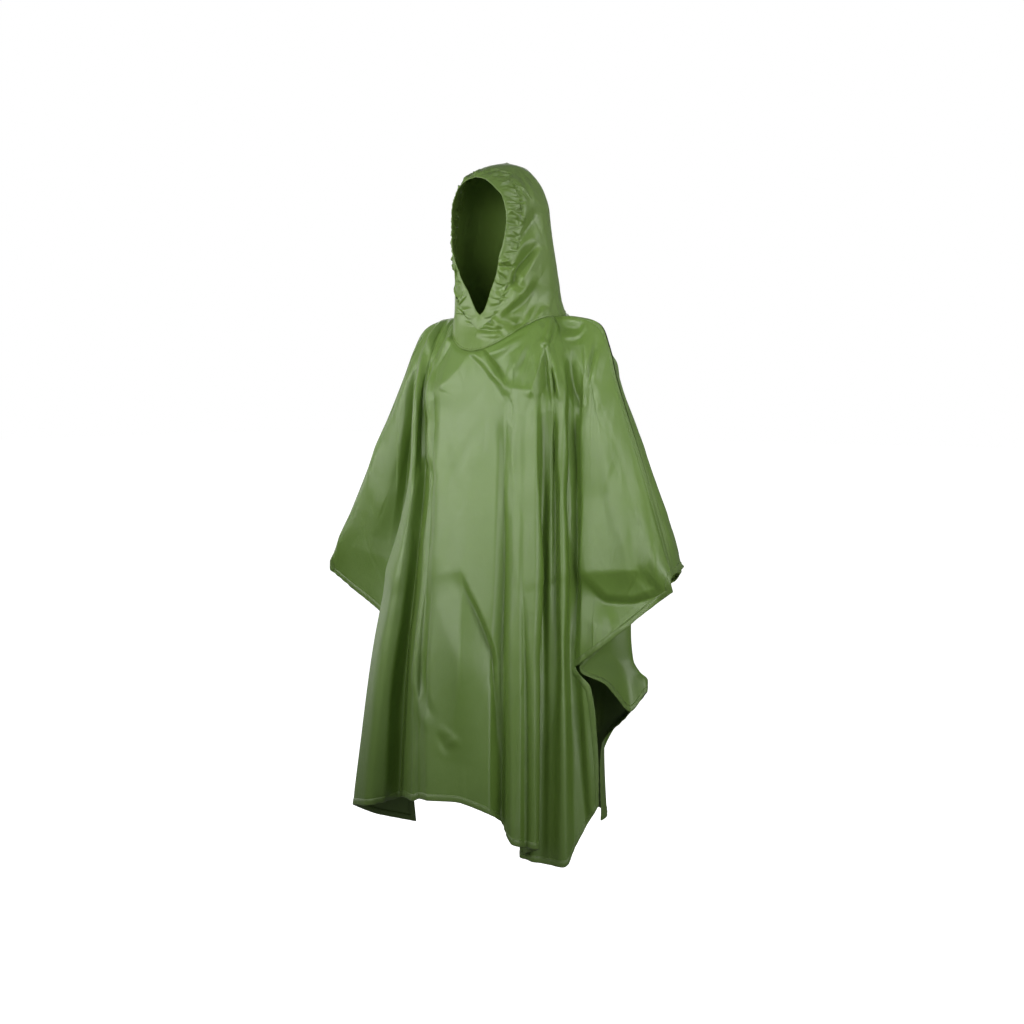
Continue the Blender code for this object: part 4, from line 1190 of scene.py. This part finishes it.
def gather_rise(seed, length, reach, depth):
    """Lift of the elastic's gathers at distances along the face opening and in from its edge.

    The gathers are short uneven pinches, deep ones with shallow ones between. They run long and slanting
    over the forehead, short beside the cheek and soft at the chin.
    """
    random = np.random.default_rng(seed)
    rise = np.zeros(np.broadcast(reach, depth).shape)
    start = FIRST_GATHER
    while start < length + LAST_GATHER:
        share = start / length
        brow = np.clip((share - BROW_STRETCH[0]) / BROW_STRETCH[1], 0.0, 1.0)
        chin = np.clip((CHIN_STRETCH[0] - share) / CHIN_STRETCH[1], 0.0, 1.0)
        top = np.clip((share - TOP_STRETCH[0]) / TOP_STRETCH[1], 0.0, 1.0)
        widths, heights = DEEP_GATHER if random.random() < DEEP_GATHERS else SHALLOW_GATHER
        slant = random.normal(0.0, GATHER_SLANT) + BROW_SLANT * brow * (1 - top) + CHIN_SLANT * chin
        bend = random.normal(0.0, GATHER_BEND) + GATHER_BEND * brow
        far = random.uniform(*GATHER_END) + brow * random.uniform(*BROW_END) + chin * CHIN_END
        near = random.uniform(*(EDGE_START if random.random() < EDGE_GATHERS else INNER_START))
        width = random.uniform(*widths) * (1 + CHIN_WIDER * chin)
        height = random.uniform(*heights) * (1 - CHIN_LOWER * chin)
        height = height * random.choice([-1.0, 1.0], p=[SUNK_GATHERS, 1 - SUNK_GATHERS])
        line = start + slant * depth + bend * depth ** 2
        middle, half = (near + far) / 2, (far - near) / 2
        fade = np.clip(1.0 - np.abs((depth - middle) / half) ** END_CURVE, 0.0, 1.0)
        fade = fade * (EDGE_HEIGHT + (1 - EDGE_HEIGHT) * np.clip(depth / EDGE_BLEND, 0.0, 1.0))
        rise = rise + height * fade * fold_profile(np.abs(reach - line), width, GATHER_ROUND)
        start += random.uniform(*GATHER_SPACING) * (1 + CHIN_SPACING * chin)
    return GATHER_LIMIT * np.tanh(rise / GATHER_LIMIT)


def hood_sheet(side):
    """One hood half between the channel, the neck seam and the centre seam."""
    stations = rim_stations()
    throat = np.linspace(0.0, stations[0][3], HOOD_THROAT_ROWS + 1)[:-1]
    crown = np.linspace(stations[-1][3], CROWN_TOP, HOOD_CROWN_ROWS + 1)[1:]
    starts = np.concatenate([np.zeros(len(throat)), np.maximum(stations[:, 2], 0.0), np.zeros(len(crown))])
    shares = np.concatenate([throat, stations[:, 3], crown])
    f = np.linspace(0.0, 1.0, HOOD_COLUMNS + 1)
    turns = starts[:, None] + (180.0 - starts[:, None]) * f[None]
    surface = hood_points(turns, shares[:, None])
    surface[..., 0] = side * (surface[..., 0] + SEAM_GAP / 2)
    sheet = Sheet()
    sheet.add("hood", surface, flip=side > 0)
    grid = sheet.grids["hood"]
    reach = rim_reach(stations)
    rows = slice(len(throat), len(throat) + len(stations))
    steps = np.linalg.norm(np.diff(sheet.points[grid[rows]], axis=1), axis=2)
    depth = CHANNEL_WIDTH + np.concatenate([np.zeros((len(stations), 1)), np.cumsum(steps, axis=1)], axis=1)
    rise = np.full(len(sheet.points), CLOTH_LIFT)
    rise[grid[rows]] += gather_rise(HOOD_SEED + (side < 0), reach[-1], reach[:, None], depth)
    plane = side * FRONT_PLANE
    creases = crease_rise(sheet.points, plane, HOOD_CREASES if side > 0 else HOOD_CREASES_RIGHT)
    throat_seam = (grid[:rows.start], THROAT_HOLD)
    other_seams = [(rails, SEAM_HOLD) for rails in (grid[rows.start:], grid[:, ::-1], grid.T)]
    held = seam_hold(sheet, [throat_seam, *other_seams])
    sheet.points = lifted(sheet, plane, creases * held)
    away_from_rim = grid[:, RIM_COLUMNS:].reshape(-1)
    rise += handling_rise(sheet, away_from_rim, HOOD_SEED + 3, HOOD_HANDLING) * held
    rise[grid[:, -1]] = CLOTH_LIFT * CENTRE_LIFT
    sheet.points = sheet.points + sheet.normals() * rise[:, None]
    return sheet


def channel_sheet():
    """The gathered channel round the face: a flat tube with elastic in it, closed round the opening."""
    stations = rim_stations()
    reach = rim_reach(stations)
    lines = {}
    for side in (1.0, -1.0):
        inner = hood_points(stations[:, 0], stations[:, 1])
        outer = hood_points(stations[:, 2], stations[:, 3])
        inner[:, 0] *= side
        outer[:, 0] *= side
        middle = (outer.mean(axis=0) + inner.mean(axis=0)) / 2
        centre = np.array([0.0, middle[1] + FACE_CENTRE, middle[2]])
        away = unit((inner + outer) / 2 - centre)
        edgewise = unit(inner - outer)
        rows = []
        for across, lift, spread, gathered in CHANNEL_PROFILE:
            depth = np.full(len(reach), across * CHANNEL_WIDTH)
            rise = gather_rise(HOOD_SEED + (side < 0), reach[-1], reach, depth) * gathered
            raised = away * (lift + CLOTH_LIFT + rise)[:, None]
            spread_out = edgewise * (spread + GATHER_SPREAD * rise)[:, None]
            rows.append(inner + (outer - inner) * across + raised + spread_out)
        lines[side] = np.array(rows)
    ring = np.concatenate([lines[1.0], lines[-1.0][:, -2:0:-1]], axis=1)
    ring = np.concatenate([ring, ring[:, :1]], axis=1)
    for end in (0, len(stations) - 1):
        near = (np.arange(-3, 4) + end) % (ring.shape[1] - 1)
        ring[:, end] = ring[:, near].mean(axis=1)
    ring[:, -1] = ring[:, 0]
    sheet = Sheet()
    sheet.add("channel", ring)
    return sheet


# ---------------------------------------------------------------- materials
def node(tree, kind, at, **values):
    """A new shader node. Each value is one of its settings, or one of its inputs with _ for a space."""
    made = tree.nodes.new(kind)
    made.location = at
    for name, value in values.items():
        if hasattr(made, name):
            setattr(made, name, value)
        else:
            made.inputs[name.replace("_", " ")].default_value = value
    return made


def coated_cloth(name, colour, shade, roughness):
    """Thin nylon with a satin coating: a fine weave, faint handling creases and slight changes of colour."""
    made = bpy.data.materials.new(name)
    made.use_nodes = True
    tree = made.node_tree
    link = tree.links.new
    shader = tree.nodes["Principled BSDF"]
    coordinates = node(tree, "ShaderNodeTexCoord", (-1200, 0))

    cloudy = node(tree, "ShaderNodeTexNoise", (-950, 250), Scale=5.0, Detail=3.0, Roughness=0.6)
    link(coordinates.outputs["Object"], cloudy.inputs["Vector"])
    tint = node(tree, "ShaderNodeMix", (-650, 250), data_type="RGBA")
    tint.inputs["A"].default_value = (*shade, 1.0)
    tint.inputs["B"].default_value = (*colour, 1.0)
    spread = node(tree, "ShaderNodeMapRange", (-800, 250), From_Min=0.3, From_Max=0.62)
    link(cloudy.outputs["Fac"], spread.inputs["Value"])
    link(spread.outputs["Result"], tint.inputs["Factor"])
    link(tint.outputs["Result"], shader.inputs["Base Color"])

    stretched = node(tree, "ShaderNodeMapping", (-950, -150), Scale=(1.0, 1.0, 0.45))
    link(coordinates.outputs["Object"], stretched.inputs["Vector"])
    handled = node(tree, "ShaderNodeTexNoise", (-750, -150), Scale=38.0, Detail=5.0, Roughness=0.55)
    link(stretched.outputs["Vector"], handled.inputs["Vector"])
    soft = node(tree, "ShaderNodeBump", (-450, -150), Strength=0.30, Distance=0.003)
    link(handled.outputs["Fac"], soft.inputs["Height"])

    threads = node(tree, "ShaderNodeMath", (-550, -400), operation="ADD")
    for row, across in enumerate(("X", "Z")):
        yarn = node(tree, "ShaderNodeTexWave", (-750, -400 - 220 * row), bands_direction=across, Scale=520.0)
        link(coordinates.outputs["Object"], yarn.inputs["Vector"])
        link(yarn.outputs["Fac"], threads.inputs[row])
    weave = node(tree, "ShaderNodeBump", (-250, -150), Strength=0.12, Distance=0.0004)
    link(threads.outputs["Value"], weave.inputs["Height"])
    link(soft.outputs["Normal"], weave.inputs["Normal"])
    link(weave.outputs["Normal"], shader.inputs["Normal"])

    shader.inputs["Roughness"].default_value = roughness
    shader.inputs["Specular IOR Level"].default_value = 0.75
    shader.inputs["Sheen Weight"].default_value = 0.03
    shader.inputs["Sheen Roughness"].default_value = 0.4
    return made


def sewing_thread(name, colour):
    """Matt thread with the faint unevenness of its ply."""
    made = bpy.data.materials.new(name)
    made.use_nodes = True
    tree = made.node_tree
    shader = tree.nodes["Principled BSDF"]
    ply = node(tree, "ShaderNodeTexNoise", (-500, 0), Scale=900.0, Detail=2.0)
    tint = node(tree, "ShaderNodeMix", (-250, 100), data_type="RGBA")
    tint.inputs["A"].default_value = (*(0.8 * channel for channel in colour), 1.0)
    tint.inputs["B"].default_value = (*colour, 1.0)
    tree.links.new(ply.outputs["Fac"], tint.inputs["Factor"])
    tree.links.new(tint.outputs["Result"], shader.inputs["Base Color"])
    shader.inputs["Roughness"].default_value = 0.6
    return made


# ---------------------------------------------------------------- objects
def mesh_object(name, points, faces, finish):
    mesh = bpy.data.meshes.new(name)
    mesh.from_pydata(np.asarray(points).tolist(), [], [tuple(map(int, face)) for face in faces])
    mesh.validate()
    mesh.shade_smooth()
    mesh.materials.append(finish)
    made = bpy.data.objects.new(name, mesh)
    bpy.context.scene.collection.objects.link(made)
    return made


body_cloth = coated_cloth("coated body cloth", BODY_GREEN, BODY_SHADE, CLOTH_ROUGHNESS)
hood_cloth = coated_cloth("coated hood cloth", HOOD_GREEN, HOOD_SHADE, CLOTH_ROUGHNESS)
channel_cloth = coated_cloth("gathered channel cloth", HOOD_GREEN, HOOD_SHADE, CLOTH_ROUGHNESS)
hem_cloth = coated_cloth("turned hem cloth", HEM_GREEN, HEM_SHADE, HEM_ROUGHNESS)
thread = sewing_thread("sewing thread", THREAD_GREEN)


def dressed(name, shape, finish, slot, *cad_nodes):
    """A piece of the garment from its points and faces, in the one body."""
    piece = mesh_object(name, *shape, finish)
    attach(piece, "root")
    if cad_nodes:
        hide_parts(*cad_nodes)
    return piece


def shoulder_runs(sheet, rails):
    """The two stretches of a panel's top edge that lie outside the neck, along the shoulders."""
    middle = len(rails) // 2
    outside = [abs(sheet.points[rail[0], 0]) > NECK_HALF_WIDTH - 0.001 for rail in rails]
    return rails[:sum(outside[:middle])], rails[len(rails) - sum(outside[middle:]):]


def sewing_runs(sheet, edges):
    """The profile, the lines of stitches and the rails of each hem and seam of a panel."""
    for name, rails in edges.items():
        if name == "top":
            for run in shoulder_runs(sheet, rails):
                yield ARM_SEAM_PROFILE, ARM_STITCHES, run
        elif name.endswith("arm"):
            yield ARM_SEAM_PROFILE, ARM_STITCHES, rails
        else:
            yield HEM_PROFILE, HEM_STITCHES, rails


def dress_panel(layer, back):
    """One panel with its hems, its half of the arm seams and their stitches."""
    sheet = panel_sheet(back)
    plane, creases = (BACK_PLANE, BACK_CREASES) if back else (FRONT_PLANE, FRONT_CREASES)
    edges = panel_edges(sheet, back)
    held = seam_hold(sheet, [(edges[name], SEAM_HOLD) for name in ("top", "left arm", "right arm")])
    sheet.points = lifted(sheet, plane, crease_rise(sheet.points, plane, creases) * held)
    everywhere = np.arange(len(sheet.points))
    seed = HANDLING_SEED + 10 * back
    rise = sum(handling_rise(sheet, everywhere, seed + k, kind) for k, kind in enumerate(PANEL_HANDLING))
    sheet.points = sheet.points + sheet.normals() * (CLOTH_LIFT + rise * held)[:, None]
    for k, (name, rails) in enumerate(edges.items()):
        if name != "top" and not name.endswith("arm"):
            pucker(sheet, rails, PUCKER_SEED + 20 * back + k, PANEL_PUCKER)
    slot = "coated_body_cloth"
    cloth = dressed(f"{layer}_cloth", (sheet.points, sheet.faces), body_cloth, slot, f"{layer}_panel")
    bands, stitches = [], []
    for profile, lines, rails in sewing_runs(sheet, edges):
        bands.append(ribbon(sheet, rails, profile))
        stitches += [stitch_line(sheet, rails, line) for line in lines]
    hems = dressed(f"{layer}_hems", joined(bands), hem_cloth, slot)
    sewing = dressed(f"{layer}_stitches", joined(stitches), thread, slot)


def dress_hood_half(name, side):
    """One hood half with its centre seam, its neck seam and their stitches."""
    sheet = hood_sheet(side)
    grid = sheet.grids["hood"]
    centre, neck = grid[:, ::-1], grid.T
    pucker(sheet, neck, PUCKER_SEED + 60 + side, HOOD_NECK_PUCKER)
    pucker(sheet, centre, PUCKER_SEED + 70 + side, HOOD_CENTRE_PUCKER)
    slot = "coated_hood_cloth"
    cloth = dressed(f"hood_{name}_cloth", (sheet.points, sheet.faces), hood_cloth, slot, f"hood_{name}")
    bands = [ribbon(sheet, rails, CENTRE_SEAM_PROFILE) for rails in (centre, neck)]
    seams = dressed(f"hood_{name}_seams", joined(bands), hood_cloth, slot)
    runs = ((centre, HOOD_CENTRE_STITCHES), (neck, HOOD_NECK_STITCHES))
    stitches = [stitch_line(sheet, rails, line) for rails, line in runs]
    sewing = dressed(f"hood_{name}_stitches", joined(stitches), thread, slot)


def dress_channel():
    """The gathered channel with its line of stitches."""
    sheet = channel_sheet()
    slot = "gathered_channel_cloth"
    cloth = dressed("channel_cloth", (sheet.points, sheet.faces), channel_cloth, slot, "face_channel")
    stitches = stitch_line(sheet, sheet.grids["channel"][::-1].T, CHANNEL_STITCHES)
    sewing = dressed("channel_stitches", stitches, thread, slot)


dress_panel("front", False)
dress_panel("back", True)
dress_hood_half("left", 1)
dress_hood_half("right", -1)
dress_channel()

# ---------------------------------------------------------------- studio
def make_camera():
    """The camera at the photo's angle."""
    camera = bpy.data.objects.new("camera", bpy.data.cameras.new("camera"))
    camera.data.lens = CAMERA_LENS
    camera.data.sensor_width = 36.0
    back = Vector(facing(CAMERA_TURN, CAMERA_RISE))
    camera.location = Vector(CAMERA_AIM) + back * CAMERA_DISTANCE
    camera.rotation_euler = (-back).to_track_quat("-Z", "Y").to_euler()
    bpy.context.scene.collection.objects.link(camera)
    bpy.context.scene.camera = camera


def soft_light(name, turn, out, height, aim, size, watts, spread):
    """An area light, aimed at the part's middle."""
    data = bpy.data.lights.new(name, "AREA")
    data.shape = "RECTANGLE"
    data.size, data.size_y = size
    data.energy = watts
    data.spread = math.radians(spread)
    light = bpy.data.objects.new(name, data)
    light.location = Vector(facing(turn, 0.0)) * out + Vector((0.0, 0.0, height))
    towards = light.location - Vector((0.0, 0.0, aim))
    light.rotation_euler = (-towards).to_track_quat("-Z", "Y").to_euler()
    bpy.context.scene.collection.objects.link(light)


def camera_only(tree, seen, unseen, out):
    """Joins two shaders so that the first is what the camera sees directly and the second is what lights."""
    path = node(tree, "ShaderNodeLightPath", (-400, 300))
    mix = node(tree, "ShaderNodeMixShader", (0, 0))
    tree.links.new(path.outputs["Is Camera Ray"], mix.inputs[0])
    tree.links.new(unseen.outputs[0], mix.inputs[1])
    tree.links.new(seen.outputs[0], mix.inputs[2])
    tree.links.new(mix.outputs[0], out)


def make_studio():
    """A plain pale floor, a white world and the lights."""
    scene = bpy.context.scene
    scene.view_settings.view_transform = "Standard"
    world = bpy.data.worlds.new("studio")
    world.use_nodes = True
    scene.world = world
    tree = world.node_tree
    tree.nodes.clear()
    output = node(tree, "ShaderNodeOutputWorld", (250, 0))
    seen = node(tree, "ShaderNodeBackground", (-250, 100), Strength=1.0, Color=(1.0, 1.0, 1.0, 1.0))
    unseen = node(tree, "ShaderNodeBackground", (-250, -100), Strength=0.22, Color=(0.97, 0.99, 1.0, 1.0))
    camera_only(tree, seen, unseen, output.inputs["Surface"])

    floor = bpy.data.materials.new("pale floor")
    floor.use_nodes = True
    tree = floor.node_tree
    shader = tree.nodes["Principled BSDF"]
    shader.inputs["Base Color"].default_value = (0.62, 0.62, 0.62, 1.0)
    shader.inputs["Roughness"].default_value = 0.95
    shader.inputs["Specular IOR Level"].default_value = 0.0
    shader.inputs["Emission Color"].default_value = (1.0, 1.0, 1.0, 1.0)
    shader.inputs["Emission Strength"].default_value = 1.05
    dark = node(tree, "ShaderNodeBsdfDiffuse", (0, -300), Color=(0.3, 0.3, 0.3, 1.0))
    camera_only(tree, shader, dark, tree.nodes["Material Output"].inputs["Surface"])
    corners = [(FLOOR_HALF * x, FLOOR_HALF * y, FLOOR_Z) for x, y in ((-1, -1), (1, -1), (1, 1), (-1, 1))]
    mesh_object("floor", corners, [(0, 1, 2, 3)], floor)

    for light in LIGHTS:
        soft_light(*light)


make_camera()
make_studio()
